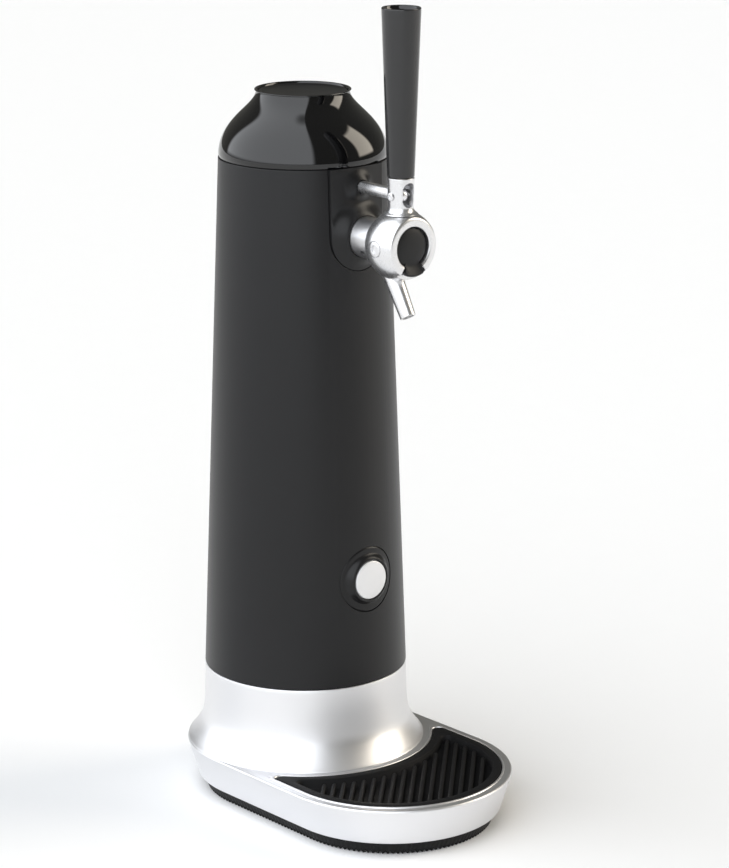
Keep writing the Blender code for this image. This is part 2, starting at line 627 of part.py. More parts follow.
def make_lever(body):
    """Collar with the bail that turns on the trunnions, its cross pin, and the handle."""
    under = BALL_R + GAP
    top = HANDLE_LOW[1] - PIVOT.z - GAP
    wall_r, blend, edge = 5.95 * MM, 3.0 * MM, 0.3 * MM
    # The skirt's fillet touches both the collar's wall and a sphere just over the underside.
    blend_x = wall_r + blend
    blend_z = math.sqrt((under + edge + blend) ** 2 - blend_x**2)
    outline = [(0, under)] + [sphere_point(under, angle) for angle in (9, 18, 27.5)]
    outline += arc((blend_x, blend_z), blend, 180 + math.degrees(math.atan2(blend_z, blend_x)), 180, 3)
    outline += [(6.45 * MM, top), (3.1 * MM, top), (3.1 * MM, top + 14.5 * MM), (0, top + 14.5 * MM)]
    collar = turned("lever_collar", outline, SILVER, "Z", 24, PIVOT, body)

    bail = arc((0, 0), 13.0 * MM, 0, 180, 12) + arc((0, 0), 10.8 * MM, 180, 0, 12)
    ring = extruded("bail_ring", bail, "Y", -2.2 * MM, 2.2 * MM, None, PIVOT)
    stem = box("bail_stem", mm(-2.2, -1.5, 11.6), mm(2.2, 1.5, 17.6), None, PIVOT)
    eyes = []
    for side, name in ((-1, "left"), (1, "right")):
        ends = sorted((side * 10.2 * MM, side * 13.2 * MM))
        eyes.append(hole(f"bail_eye_{name}", 3.0 * MM, *ends, "X", PIVOT, 12))
    join(collar, stem, ring, *eyes)
    slot_r = 3.35 * MM
    slot = arc(mm(0, 26.75), slot_r, 0, 180, 8) + arc(mm(0, 21.65), slot_r, 180, 360, 8)
    cut(collar, extruded("rod_slot", slot, "Y", -12 * MM, 12 * MM, None, PIVOT),
        hole("bail_bore", 1.85 * MM, -16 * MM, 16 * MM, "X", PIVOT, 12),
        hole("pin_hole", 1.6 * MM, -10 * MM, 10 * MM, "X", PIVOT + Vector((0, 0, ROD_RISE)), 12))
    turned("lever_pin", [
        mm(0, -7.2), mm(1.5, -7.2), mm(2.0, -6.9), mm(2.0, -6.45), mm(1.25, -6.45), mm(1.25, 6.0),
        mm(0, 6.0),
    ], SILVER, "X", 12, PIVOT + Vector((0, 0, ROD_RISE)), body)

    handle_low = (HANDLE_LOW[0], HANDLE_LOW[1] - PIVOT.z)
    handle_high = (HANDLE_HIGH[0], HANDLE_HIGH[1] - PIVOT.z)
    bore_top = handle_low[1] + 18 * MM
    turned("handle", [
        (5.1 * MM, handle_low[1]), (handle_low[0] - 0.4 * MM, handle_low[1]),
        (handle_low[0], handle_low[1] + 0.5 * MM), (handle_high[0], handle_high[1] - 0.5 * MM),
        (handle_high[0] - 0.4 * MM, handle_high[1]), (7.9 * MM, handle_high[1]),
        (7.5 * MM, handle_high[1] - 2.0 * MM), (0, handle_high[1] - 2.6 * MM), (0, bore_top),
        (5.1 * MM, bore_top),
    ], HANDLE_GREY, "Z", 20, PIVOT, body)
    turned("handle_insert", ring_outline(3.45 * MM, 4.8 * MM, handle_low[1] + GAP,
                                         handle_low[1] + 15.5 * MM), BRASS, "Z", 16, PIVOT, body)


def make_push_rod(body):
    rod_z = PIVOT.z + ROD_RISE
    rod = turned("push_rod", rod_outline(ROD_R, -66 * MM, -12 * MM, 0.4 * MM), SILVER, "Y", SMALL,
                 (0, 0, rod_z), body)
    join(rod, box("rod_paddle", mm(-2.0, -75.2, -3.3), mm(2.0, -65.2, 3.3), None, (0, 0, rod_z)))
    half_slot, slot_r = 0.75 * MM, 1.6 * MM
    eye = arc((PIVOT.y, half_slot), slot_r, 0, 180, 6)
    eye += arc((PIVOT.y, -half_slot), slot_r, 180, 360, 6)
    cut(rod, extruded("rod_eye", eye, "X", -5 * MM, 5 * MM, None, (0, 0, rod_z)))
    slider = box("switch_slider", mm(-4.8, -14, -5), mm(4.8, -4, 5), NATURAL, (0, 0, rod_z), body)
    join(slider, box("slider_tongue", mm(4, -11, -3), mm(10, -7, 3), None, (0, 0, rod_z)))
    cut(slider, hole("slider_socket", ROD_R + GAP, -18 * MM, -11.6 * MM, "Y", (0, 0, rod_z)))


# Pump, electronics and cells ----------------------------------------------------------

def make_equipment(body):
    turned("pump_mount", [
        mm(0, 272.1), mm(12.6, 272.1), mm(12.6, 278.5), mm(10.9, 278.5), mm(10.9, 274.6),
        mm(0, 274.6),
    ], RUBBER, sides=20, at=PUMP, parent=body)
    turned("pump_motor", rod_outline(10.5 * MM, 275 * MM, 302 * MM, 0.8 * MM), STEEL, sides=20,
           at=PUMP, parent=body)
    head = turned("pump_head", rod_outline(11.2 * MM, 302.3 * MM, 314 * MM, 1.0 * MM), BLACK,
                  sides=20, at=PUMP, parent=body)
    outlet_z = 309 * MM
    join(head, hole("pump_outlet", 1.8 * MM, -14.6 * MM, -10 * MM, "Y",
                    PUMP + Vector((0, 0, outlet_z)), 10))
    start = PUMP + Vector((0, -14.9 * MM, outlet_z))
    bend = 7 * MM
    route = [start]
    for y, z in arc((start.y - 1 * MM, outlet_z - bend), bend, 90, 180, 6):
        share = (start.y - y) / bend
        route.append(Vector((start.x + share * (AIR_FITTING.x - start.x) * 0.8, y, z)))
    route.append(Vector((AIR_FITTING.x, AIR_FITTING.y, 288 * MM)))
    route.append(Vector((AIR_FITTING.x, AIR_FITTING.y, 276.3 * MM)))
    curve_tube("air_tube", route, 1.6 * MM, CLEAR_TUBE, body)

    box("control_board", mm(15, -22, 272.1), mm(16.6, 15, 316), BOARD_GREEN, parent=body)
    for name, low_y, high_y in (("switch_pour", -25.0, -17.9), ("switch_foam", -1.7, 5.4)):
        box(name, mm(6.0, low_y, 304), mm(14.7, high_y, 314), BLACK, parent=body, bevel=0.4 * MM)
    tray = box("battery_tray", mm(-17.3, 17.7, 272.1), mm(17.3, 33.6, 292), BLACK, parent=body)
    bays = []
    for index, x in enumerate((-8.6, 8.6)):
        at = mm(x, 26, 0)
        bays.append(hole(f"cell_bay_{index}", 7.5 * MM, 274 * MM, 300 * MM, at=at, sides=20))
        turned(f"battery_contact_{index + 1}", [mm(0, 274.3), mm(4.5, 274.3), mm(2.5, 275.7), mm(0, 275.7)],
               STEEL, at=at, parent=body)
        turned(f"battery_{index + 1}", [
            mm(0, 276), mm(6.8, 276), mm(7.1, 276.4), mm(7.1, 325), mm(6.6, 325.4), mm(2.7, 325.4),
            mm(2.7, 326.5), mm(0, 326.5),
        ], CELL, sides=16, at=at, parent=body)
    cut(tray, *bays)


def make_cap(body):
    """Domed cap: a plug that enters the housing, a shoulder, a neck and a dished top."""
    def shoulder(inset):
        start = Vector((40.85 * MM - inset, 319.5 * MM, 0))
        bulge = Vector((40.6 * MM - inset, 337 * MM - inset, 0))
        waist = Vector((CAP_NECK_R - 0.5 * MM - inset, 342 * MM - inset, 0))
        end = Vector((CAP_NECK_R - inset, 350.2 * MM - inset, 0))
        return [(point.x, point.y) for point in interpolate_bezier(start, bulge, waist, end, 10)]

    inner = [point for point in shoulder(2 * MM) if point[1] > 324 * MM]
    outline = shoulder(0)
    outline += [(CAP_NECK_R + 0.8 * MM, CAP_TOP_Z - 0.5 * MM), (CAP_NECK_R + 0.6 * MM, CAP_TOP_Z),
                (22.3 * MM, CAP_TOP_Z), (21.8 * MM, CAP_TOP_Z - 0.8 * MM), mm(21.8, 348.3),
                mm(0, 348.3), mm(0, 346.3), mm(20.4, 346.3)]
    outline += list(reversed(inner[:-2]))
    outline += [mm(36.4, 321.5), mm(36.4, 317.0), mm(38.3, 317.0), mm(38.3, 319.5)]
    dome = turned("cap_dome", outline, GLOSS, sides=INNER, parent=body)
    join(dome, hole("contact_post", 2.4 * MM, 328.0 * MM, 341 * MM, at=mm(0, 26, 0), sides=10))
    turned("cap_disc", [
        mm(0, 348.6), mm(21.4, 348.6), mm(21.4, 350.4), mm(20.6, 350.6), mm(17, 350.2), mm(0, 349.9),
    ], GLOSS, sides=INNER, parent=body)
    box("contact_strip", mm(-13, 23.5, 326.9), mm(13, 28.5, 327.7), STEEL, parent=body)


def main():
    clear_scene()
    root = empty("base_frame", (0, 0, 0))
    tray = empty("drip_tray_frame", (0, -BASE_LENGTH, TRAY_FLOOR_Z), root)
    tower = empty("tower_frame", (0, 0, HOUSING_LOW[1]), root)
    cap = empty("cap_frame", (0, 0, HOUSING_HIGH[1]), tower)
    button = empty("button_frame", (0, -50 * MM, BUTTON_Z), tower)
    lever = empty("lever_frame", PIVOT, tower)
    rod = empty("rod_frame", PIVOT + Vector((0, 0, ROD_RISE)), tower)
    plug = empty("plug_frame", PIVOT, tower)

    make_base(root)
    make_drip_tray(tray)
    make_housing(tower)
    make_tap_panel(tower)
    make_button_bezel(tower)
    make_button(button)
    make_shank(tower)
    make_faucet_body(tower)
    make_faucet_plug(plug)
    make_lever(lever)
    make_push_rod(rod)
    make_equipment(tower)
    make_cap(cap)


main()
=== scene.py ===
"""Looks of a countertop draft beer dispenser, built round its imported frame.

Shapes are made in millimetres and scaled to metres by piece(). Every new piece keeps its
object at the origin, so its texture coordinates are metres in the frame.
"""

import json
import math

import bmesh
import bpy
from mathutils import Matrix, Vector
from mathutils.geometry import interpolate_bezier


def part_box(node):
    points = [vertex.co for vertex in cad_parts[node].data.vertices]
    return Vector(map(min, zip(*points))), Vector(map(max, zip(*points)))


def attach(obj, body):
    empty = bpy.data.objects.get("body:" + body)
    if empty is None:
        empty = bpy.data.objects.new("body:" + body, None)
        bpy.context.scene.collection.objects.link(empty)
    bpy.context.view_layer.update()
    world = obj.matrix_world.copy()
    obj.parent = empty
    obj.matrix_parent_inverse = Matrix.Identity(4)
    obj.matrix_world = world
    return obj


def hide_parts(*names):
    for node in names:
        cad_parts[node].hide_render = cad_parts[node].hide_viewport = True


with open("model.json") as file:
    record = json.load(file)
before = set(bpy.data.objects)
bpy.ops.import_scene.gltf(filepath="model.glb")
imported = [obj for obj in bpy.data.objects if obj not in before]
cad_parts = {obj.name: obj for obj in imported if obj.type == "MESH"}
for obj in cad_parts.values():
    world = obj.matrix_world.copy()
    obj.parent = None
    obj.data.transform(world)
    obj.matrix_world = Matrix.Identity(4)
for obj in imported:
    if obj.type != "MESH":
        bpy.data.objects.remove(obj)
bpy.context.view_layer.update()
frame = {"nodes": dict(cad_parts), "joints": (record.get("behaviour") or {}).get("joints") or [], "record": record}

MM = 0.001
GAP = 0.3  # clearance between neighbouring pieces
SIDES = 128
CREASE = 32  # degrees, over which an edge is drawn sharp

SHELL_LOW, SHELL_HIGH = (Vector(corner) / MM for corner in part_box("base_shell"))
HOUSING_LOW, HOUSING_HIGH = (Vector(corner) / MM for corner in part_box("housing_shell"))
HANDLE_LOW, HANDLE_HIGH = (Vector(corner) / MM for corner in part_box("handle"))
PIVOT = Vector(next(joint["pos_m"] for joint in frame["joints"] if joint["name"] == "tap_lever")) / MM
BUTTON = (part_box("power_button")[0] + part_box("power_button")[1]) / (2 * MM)

BASE_R = SHELL_HIGH.x
BASE_LENGTH = -SHELL_LOW.y - BASE_R  # between the centres of the base's round ends
DECK_Z = SHELL_HIGH.z - 0.7
SKIRT_Z = SHELL_LOW.z
SKIRT_R = 54.2
FOOT_R = 49.8
FOOT_SCREWS = [(x, y) for x in (-38, 38) for y in (22, -84)]
WALL = 2.2

TRAY_HOLLOW_R = 63.5  # side towards the tower
TRAY_SIDE_R = 54.6
TRAY_CORNER_R = 3.2
TRAY_FLOOR_Z = 19.4
RIBS = 18
FIRST_RIB = 14.9
RIB_PITCH = 4.7

HOUSING_TOP_R = 40.88
CHAMBER_ROOF_Z = 266.5
PLATE_TOP_Z = 272.1  # equipment plate, which carries the pump, board and cells
PANEL_HALF = 16.5
PANEL_ROUND_Z = 286  # centre of the faceplate's round lower end
BEZEL_R = 16.3
PUMP = Vector((-22, 2, 0))

BALL_R = 16.7
CAVITY_R = 14.3
RING_Y = -9.3  # front ring of the ball, from the pivot
OPENING_R = 9.9
SHANK_R = 9.8
DRAIN_LEAN = 55  # degrees from straight down, towards -X
ROD_RISE = 23.5  # push rod above the pivot
ROD_R = 2.95
SPOUT_TIP = Vector((0, -76.0, 252.8))
SPOUT_TILT = math.radians(31)


# Shapes -------------------------------------------------------------------------------

def soften(points, steps=4):
    """Plain points from (a, b) or (a, b, fillet) corners of a closed outline."""
    made = []
    for index, (a, b, *fillet) in enumerate(points):
        corner = Vector((a, b))
        if not fillet:
            made.append((a, b))
            continue
        back = Vector(points[index - 1][:2]) - corner
        ahead = Vector(points[(index + 1) % len(points)][:2]) - corner
        start = corner + back.normalized() * min(fillet[0], back.length * 0.49)
        end = corner + ahead.normalized() * min(fillet[0], ahead.length * 0.49)
        for step in range(steps + 1):
            t = step / steps
            made.append(tuple(start * (1 - t) ** 2 + corner * 2 * t * (1 - t) + end * t * t))
    return made


def arc(centre, radius, start, end, steps):
    """Points on an arc, by angles in degrees from the first axis."""
    angles = [math.radians(start + (end - start) * step / steps) for step in range(steps + 1)]
    return [(centre[0] + radius * math.cos(a), centre[1] + radius * math.sin(a)) for a in angles]


def through(points, steps=6):
    """A smooth curve through outline points."""
    ends = [points[0], *points, points[-1]]
    made = []
    for p0, p1, p2, p3 in zip(ends, ends[1:], ends[2:], ends[3:]):
        for step in range(steps):
            t = step / steps
            weights = (-t + 2 * t**2 - t**3, 2 - 5 * t**2 + 3 * t**3, t + 4 * t**2 - 3 * t**3, t**3 - t**2)
            made.append(tuple(sum(w * p[k] for w, p in zip(weights, (p0, p1, p2, p3))) / 2 for k in (0, 1)))
    return [*made, points[-1]]


def piece(name, bm, place=None, crease=CREASE):
    """An object from a mesh in millimetres, smooth but for edges sharper than the crease angle."""
    bmesh.ops.transform(bm, matrix=Matrix.Scale(MM, 4) @ (place or Matrix()), verts=bm.verts)
    bmesh.ops.recalc_face_normals(bm, faces=bm.faces)
    mesh = bpy.data.meshes.new(name)
    bm.to_mesh(mesh)
    bm.free()
    obj = bpy.data.objects.new(name, mesh)
    bpy.context.scene.collection.objects.link(obj)
    smooth(obj, crease)
    return obj


def smooth(obj, crease=CREASE):
    obj.data.shade_smooth()
    obj.data.set_sharp_from_angle(angle=math.radians(crease))


def loft_into(bm, rings, closed=False, caps=True):
    """Faces between neighbouring rings of points. A ring of one point is a pole."""
    loops = [[bm.verts.new(point) for point in ring] for ring in rings]
    pairs = list(zip(loops, loops[1:] + (loops[:1] if closed else [])))
    for one, two in pairs:
        count = max(len(one), len(two))
        for index in range(count if count > 1 else 0):
            after = (index + 1) % count
            corners = (one[index % len(one)], one[after % len(one)],
                       two[after % len(two)], two[index % len(two)])
            bm.faces.new(dict.fromkeys(corners))
    if caps and not closed:
        for loop in (loops[0], loops[-1]):
            if len(loop) > 2:
                bm.faces.new(loop)
    return loops


def fill_between(bm, outer, inner):
    """A flat sheet between two loops at one level."""
    edges = {edge for vert in (*outer, *inner) for edge in vert.link_edges if len(edge.link_faces) == 1}
    bmesh.ops.triangle_fill(bm, use_beauty=True, edges=list(edges), normal=(0, 0, 1))


def loft(name, rings, closed=False, place=None, crease=CREASE):
    bm = bmesh.new()
    loft_into(bm, rings, closed)
    return piece(name, bm, place, crease)


def on_axis(axis, a, b, level):
    """The point (a, b) of a plane across an axis, at a level along it."""
    return {"Z": (a, b, level), "Y": (a, level, b), "X": (level, a, b)}[axis]


def lathe(name, outline, axis="Z", at=(0, 0, 0), sides=SIDES, tilt=None, crease=CREASE):
    """A closed (radius, height) outline with fillets, turned about an axis through a point."""
    rings = []
    for radius, height in soften(outline):
        ring = []
        for side in range(1 if radius < 1e-6 else sides):
            angle = 2 * math.pi * side / sides
            ring.append(on_axis(axis, radius * math.cos(angle), radius * math.sin(angle), height))
        rings.append(ring)
    return loft(name, rings, closed=True, place=Matrix.Translation(at) @ (tilt or Matrix()), crease=crease)


def prism(name, outline, axis, low, high, at=(0, 0, 0), bevel=0.0):
    """A flat outline extruded along an axis: (x, y) along Z, (x, z) along Y, (y, z) along X."""
    rings = [[on_axis(axis, a, b, level) for a, b in outline] for level in (low, high)]
    obj = loft(name, rings, place=Matrix.Translation(at))
    return rounded(obj, bevel) if bevel else obj


def block(name, low, high, at=(0, 0, 0), bevel=0.0):
    outline = [(low[0], low[1]), (high[0], low[1]), (high[0], high[1]), (low[0], high[1])]
    return prism(name, outline, "Z", low[2], high[2], at, bevel)


def baked(obj, crease=CREASE):
    """The object with its modifiers applied."""
    graph = bpy.context.evaluated_depsgraph_get()
    old = obj.data
    obj.data = bpy.data.meshes.new_from_object(obj.evaluated_get(graph))
    obj.modifiers.clear()
    bpy.data.meshes.remove(old)
    smooth(obj, crease)
    return obj


def rounded(obj, width, segments=3):
    bevel = obj.modifiers.new("Bevel", "BEVEL")
    bevel.width = width * MM
    bevel.segments = segments
    return baked(obj)


def boolean(obj, operation, *others, crease=CREASE):
    """One exact Boolean of all the helpers, which it uses up."""
    group = bpy.data.collections.new("helpers")
    bpy.context.scene.collection.children.link(group)
    for other in others:
        bpy.context.scene.collection.objects.unlink(other)
        group.objects.link(other)
    modifier = obj.modifiers.new("Boolean", "BOOLEAN")
    modifier.operation = operation
    modifier.operand_type = "COLLECTION"
    modifier.collection = group
    baked(obj, crease)
    for other in others:
        bpy.data.objects.remove(other)
    bpy.data.collections.remove(group)


def cut(obj, *others):
    boolean(obj, "DIFFERENCE", *others)


def join(obj, *others):
    boolean(obj, "UNION", *others)


def hole(radius, low, high, axis="Z", at=(0, 0, 0), sides=64):
    return lathe("hole", [(0, low), (radius, low), (radius, high), (0, high)], axis, at, sides)


def smooth_min(a, b, blend):
    overlap = max(blend - abs(a - b), 0) / blend
    return min(a, b) - overlap * overlap * blend / 4


def ramp(value, low, high):
    """A smooth step from 0 at low to 1 at high."""
    share = min(max((value - low) / (high - low), 0), 1)
    return share * share * (3 - 2 * share)


# Materials ----------------------------------------------------------------------------

def finish(name, colours, rough, grain, metallic=0.0, coat=0.0, specular=0.5, stretch=(1, 1, 1),
           tone_scale=45, bump=0.1):
    """A surface with slow changes of tone and a fine grain that moves its roughness and its normal."""
    material = bpy.data.materials.new(name)
    material.use_nodes = True
    nodes, links = material.node_tree.nodes, material.node_tree.links
    shader = nodes["Principled BSDF"]
    shader.inputs["Metallic"].default_value = metallic
    shader.inputs["Coat Weight"].default_value = coat
    shader.inputs["Coat Roughness"].default_value = 0.04
    shader.inputs["Specular IOR Level"].default_value = specular
    where = nodes.new("ShaderNodeTexCoord")
    mapping = nodes.new("ShaderNodeMapping")
    mapping.inputs["Scale"].default_value = stretch
    links.new(where.outputs["Object"], mapping.inputs["Vector"])

    tone = nodes.new("ShaderNodeTexNoise")
    tone.inputs["Scale"].default_value = tone_scale
    tone.inputs["Detail"].default_value = 3
    mix = nodes.new("ShaderNodeMix")
    mix.data_type = "RGBA"
    mix.inputs["A"].default_value = (*colours[0], 1)
    mix.inputs["B"].default_value = (*colours[1], 1)
    links.new(where.outputs["Object"], tone.inputs["Vector"])
    links.new(tone.outputs["Fac"], mix.inputs["Factor"])
    links.new(mix.outputs["Result"], shader.inputs["Base Color"])

    fine = nodes.new("ShaderNodeTexNoise")
    fine.inputs["Scale"].default_value = grain
    fine.inputs["Detail"].default_value = 4
    links.new(mapping.outputs["Vector"], fine.inputs["Vector"])
    spread = nodes.new("ShaderNodeMapRange")
    spread.inputs["From Min"].default_value = 0.3
    spread.inputs["From Max"].default_value = 0.7
    spread.inputs["To Min"].default_value = rough[0]
    spread.inputs["To Max"].default_value = rough[1]
    links.new(fine.outputs["Fac"], spread.inputs["Value"])
    links.new(spread.outputs["Result"], shader.inputs["Roughness"])
    relief = nodes.new("ShaderNodeBump")
    relief.inputs["Strength"].default_value = bump
    relief.inputs["Distance"].default_value = 0.05 * MM
    links.new(fine.outputs["Fac"], relief.inputs["Height"])
    links.new(relief.outputs["Normal"], shader.inputs["Normal"])
    return material


FINISHES = {
    "satin_silver": dict(colours=((0.76, 0.76, 0.775), (0.79, 0.79, 0.80)), rough=(0.37, 0.40),
                         grain=2400, metallic=0.95, stretch=(0.04, 0.04, 2.0), bump=0.008),
    "cast_silver": dict(colours=((0.75, 0.75, 0.76), (0.79, 0.79, 0.80)), rough=(0.25, 0.30),
                        grain=3500, metallic=0.96, bump=0.03),
    "turned_silver": dict(colours=((0.66, 0.66, 0.67), (0.70, 0.70, 0.71)), rough=(0.28, 0.34),
                          grain=2200, metallic=0.98, stretch=(0.05, 2.0, 0.05), bump=0.04),
    "matte_black": dict(colours=((0.0070, 0.0070, 0.0077), (0.0088, 0.0088, 0.0095)),
                        rough=(0.36, 0.42), grain=2200, specular=0.30, bump=0.06),
    "panel_black": dict(colours=((0.0065, 0.0065, 0.007), (0.0082, 0.0082, 0.0087)), rough=(0.29, 0.34),
                        grain=2200, specular=0.30, bump=0.03),
    "gloss_black": dict(colours=((0.0022, 0.0022, 0.0026), (0.0030, 0.0030, 0.0034)),
                        rough=(0.045, 0.06), grain=300, coat=0.25, bump=0.003),
    "handle_grey": dict(colours=((0.022, 0.022, 0.0225), (0.026, 0.026, 0.0265)), rough=(0.12, 0.16),
                        grain=2600, specular=0.45, bump=0.02),
    "black_rubber": dict(colours=((0.0085, 0.0085, 0.009), (0.012, 0.012, 0.0125)), rough=(0.50, 0.62),
                         grain=2200, specular=0.12, bump=0.25),
    "plug_black": dict(colours=((0.011, 0.011, 0.0115), (0.014, 0.014, 0.0145)), rough=(0.40, 0.48),
                       grain=2600, specular=0.25, bump=0.08),
    "silicone": dict(colours=((0.66, 0.66, 0.63), (0.76, 0.76, 0.73)), rough=(0.30, 0.42), grain=400,
                     bump=0.05),
    "natural_plastic": dict(colours=((0.56, 0.56, 0.54), (0.64, 0.64, 0.62)), rough=(0.36, 0.48),
                            grain=900, bump=0.12),
    "steel": dict(colours=((0.52, 0.52, 0.53), (0.62, 0.62, 0.62)), rough=(0.22, 0.38), grain=1200,
                  metallic=1.0, stretch=(1, 1, 0.15), bump=0.15),
    "brass": dict(colours=((0.62, 0.43, 0.16), (0.76, 0.56, 0.24)), rough=(0.22, 0.36), grain=1100,
                  metallic=1.0, stretch=(0.2, 0.2, 3), bump=0.12),
    "board_green": dict(colours=((0.012, 0.10, 0.035), (0.03, 0.17, 0.06)), rough=(0.30, 0.45),
                        grain=700, bump=0.20, tone_scale=350),
    "cell_sleeve": dict(colours=((0.05, 0.06, 0.085), (0.07, 0.085, 0.115)), rough=(0.22, 0.30),
                        grain=600, metallic=0.3, bump=0.03),
    "piezo_ceramic": dict(colours=((0.62, 0.56, 0.43), (0.72, 0.66, 0.52)), rough=(0.5, 0.7),
                          grain=1500, bump=0.2),
    "button_white": dict(colours=((0.74, 0.74, 0.75), (0.80, 0.80, 0.81)), rough=(0.30, 0.38),
                         grain=1500, metallic=0.35, bump=0.05),
}
MATERIALS = {name: finish(name, **look) for name, look in FINISHES.items()}
SLOTS = {part["node"]: part["material_slot"] for part in frame["record"]["subparts"]}


def wear(obj, material):
    obj.data.materials.clear()
    obj.data.materials.append(MATERIALS[material])


def stands_for(obj, node, body, material=None):
    """The piece rides on a body in place of a node, in the node's finish."""
    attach(obj, body)
    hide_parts(node)
    wear(obj, material or SLOTS[node])


def tint(obj, material, chosen):
    """A second finish on the faces whose middle, in millimetres, passes a test."""
    obj.data.materials.append(MATERIALS[material])
    for face in obj.data.polygons:
        if chosen(face.center / MM):
            face.material_index = len(obj.data.materials) - 1


# Base ---------------------------------------------------------------------------------

def stadium(radius, height, steps=56):
    """The base's plan: half a circle at each end, joined by straight sides."""
    rear = arc((0, 0), radius, 0, 180, steps)
    front = arc((0, -BASE_LENGTH), radius, 180, 360, steps)
    return [(x, y, height) for x, y in rear + front]


def crescent(inset, height, steps=36):
    """The drip tray's plan: hollow towards the tower, round in front, with rounded tips."""
    hollow, side = TRAY_HOLLOW_R + inset, TRAY_SIDE_R - inset
    corner_x = side - TRAY_CORNER_R
    corner_y = -math.sqrt((hollow + TRAY_CORNER_R) ** 2 - corner_x**2)
    inward = math.degrees(math.atan2(-corner_y, -corner_x))
    right = arc((corner_x, corner_y), TRAY_CORNER_R, inward, 0, 12)
    front = arc((0, -BASE_LENGTH), side, 0, -180, 2 * steps)
    left = [(-x, y) for x, y in reversed(right)]
    end = math.degrees(math.atan2(corner_y, corner_x))
    rear = arc((0, 0), hollow, -180 - end, end, steps)
    return [(x, y, height) for x, y in right + front + left + rear[1:-1]]


def make_base_shell():
    """Bowl-sided shell whose deck has a sunk crescent with a thin raised lip."""
    deck, edge_r = DECK_Z, BASE_R + 0.4
    ceiling, well_floor, well_inset = 22.8, 17.6, -1.8
    profile = soften([(BASE_R - WALL, ceiling), (SKIRT_R - 2.1, SKIRT_Z), (SKIRT_R, SKIRT_Z, 0.7),
                      (edge_r, deck - 0.8, 0.8), (edge_r - 0.7, deck, 0.7), (edge_r - 1.6, deck)], 6)
    lip = [(-1.15, deck), (-1.07, deck + 0.14), (-0.92, deck + 0.4), (-0.7, deck + 0.56),
           (-0.42, deck + 0.58), (-0.18, deck + 0.45), (-0.04, deck + 0.15), (0, deck - 0.3),
           (0, TRAY_FLOOR_Z)]
    bm = bmesh.new()
    outside = loft_into(bm, [stadium(r, z) for r, z in profile], caps=False)
    inside = loft_into(bm, [crescent(inset, z) for inset, z in lip], caps=False)
    well = loft_into(bm, [crescent(well_inset, z) for z in (ceiling, well_floor)], caps=False)
    bm.faces.new(inside[-1])
    bm.faces.new(well[-1])
    fill_between(bm, outside[-1], inside[0])
    fill_between(bm, outside[0], well[0])
    shell = piece("base_shell_fine", bm, crease=40)
    for face in shell.data.polygons:
        face.use_smooth = abs(face.normal.z) < 0.9999
    stands_for(shell, "base_shell", "base")


def make_foot():
    """Rubber foot with a toothed lower edge and a recessed underside."""
    teeth, per_tooth = 184, 6
    count = teeth * per_tooth
    half = math.pi * FOOT_R
    whole = 2 * (half + BASE_LENGTH)

    def outline(radius, heights):
        ring = []
        for index in range(count):
            along = whole * index / count
            if along < half:
                x, y = radius * math.cos(along / FOOT_R), radius * math.sin(along / FOOT_R)
            elif along < half + BASE_LENGTH:
                x, y = -radius, half - along
            elif along < 2 * half + BASE_LENGTH:
                angle = math.pi + (along - half - BASE_LENGTH) / FOOT_R
                x, y = radius * math.cos(angle), radius * math.sin(angle) - BASE_LENGTH
            else:
                x, y = radius, along - whole
            ring.append((x, y, heights[index % per_tooth]))
        return ring

    tooth = (0.0, 0.0, 0.55, 1.15, 1.15, 0.55)
    rings = [outline(FOOT_R - 6, [1.15] * per_tooth), outline(FOOT_R - 5.4, tooth),
             outline(FOOT_R - 0.4, tooth), outline(FOOT_R, [z + 0.35 for z in tooth]),
             outline(FOOT_R + 0.6, [1.9] * per_tooth), outline(52.4, [6.2] * per_tooth),
             outline(52.2, [6.6] * per_tooth)]
    foot = loft("base_foot_fine", rings, crease=45)
    cut(foot, *[hole(4.2, -2, 9, at=(x, y, 0)) for x, y in FOOT_SCREWS])
    stands_for(foot, "base_foot", "base")


def make_pedestal():
    flare = through([(58.95, 26.0), (57.4, 27.7), (55.5, 30.3), (53.6, 33.4), (52.0, 37), (51.0, 42),
                     (50.4, 50), (50.13, 64.5)])
    outline = [(59.05, 25.65), *flare, (50.0, 64.9), (47.9, 64.9, 0.3), (47.9, 61.2), (44.6, 61.2),
               (44.6, 58.2), (47.9, 58.2), (48.6, 42.0), (51.2, 32.5), (55.5, 25.65)]
    stands_for(lathe("pedestal_collar_fine", outline, sides=192), "pedestal_collar", "base")

    cup = lathe("can_cup_fine", [
        (0, 25.9), (42.4, 25.9), (42.4, 61.5), (47.3, 61.5), (47.3, 63.6, 0.4), (42.4, 63.6),
        (42.4, 84.5, 0.7), (39.9, 84.5, 0.7), (39.9, 79.0), (41.8, 79.0), (41.8, 76.4), (39.9, 76.4),
        (39.9, 33.0, 1.5), (0, 33.0),
    ])
    stands_for(cup, "can_cup", "base", "panel_black")
    pad = [(0, 33.3), (37.5, 33.3), (37.5, 35.3, 0.7)]
    for radius in range(34, 4, -6):
        pad += [(radius + 1.0, 35.3, 0.3), (radius + 0.6, 34.7, 0.2), (radius - 0.6, 34.7, 0.2),
                (radius - 1.0, 35.3, 0.3)]
    stands_for(lathe("can_pad_fine", [*pad, (0, 35.3)]), "can_pad", "base")
    stands_for(lathe("base_seal_fine", arc((40.65, 77.7), 0.85, 0, 345, 23)), "base_seal", "base")


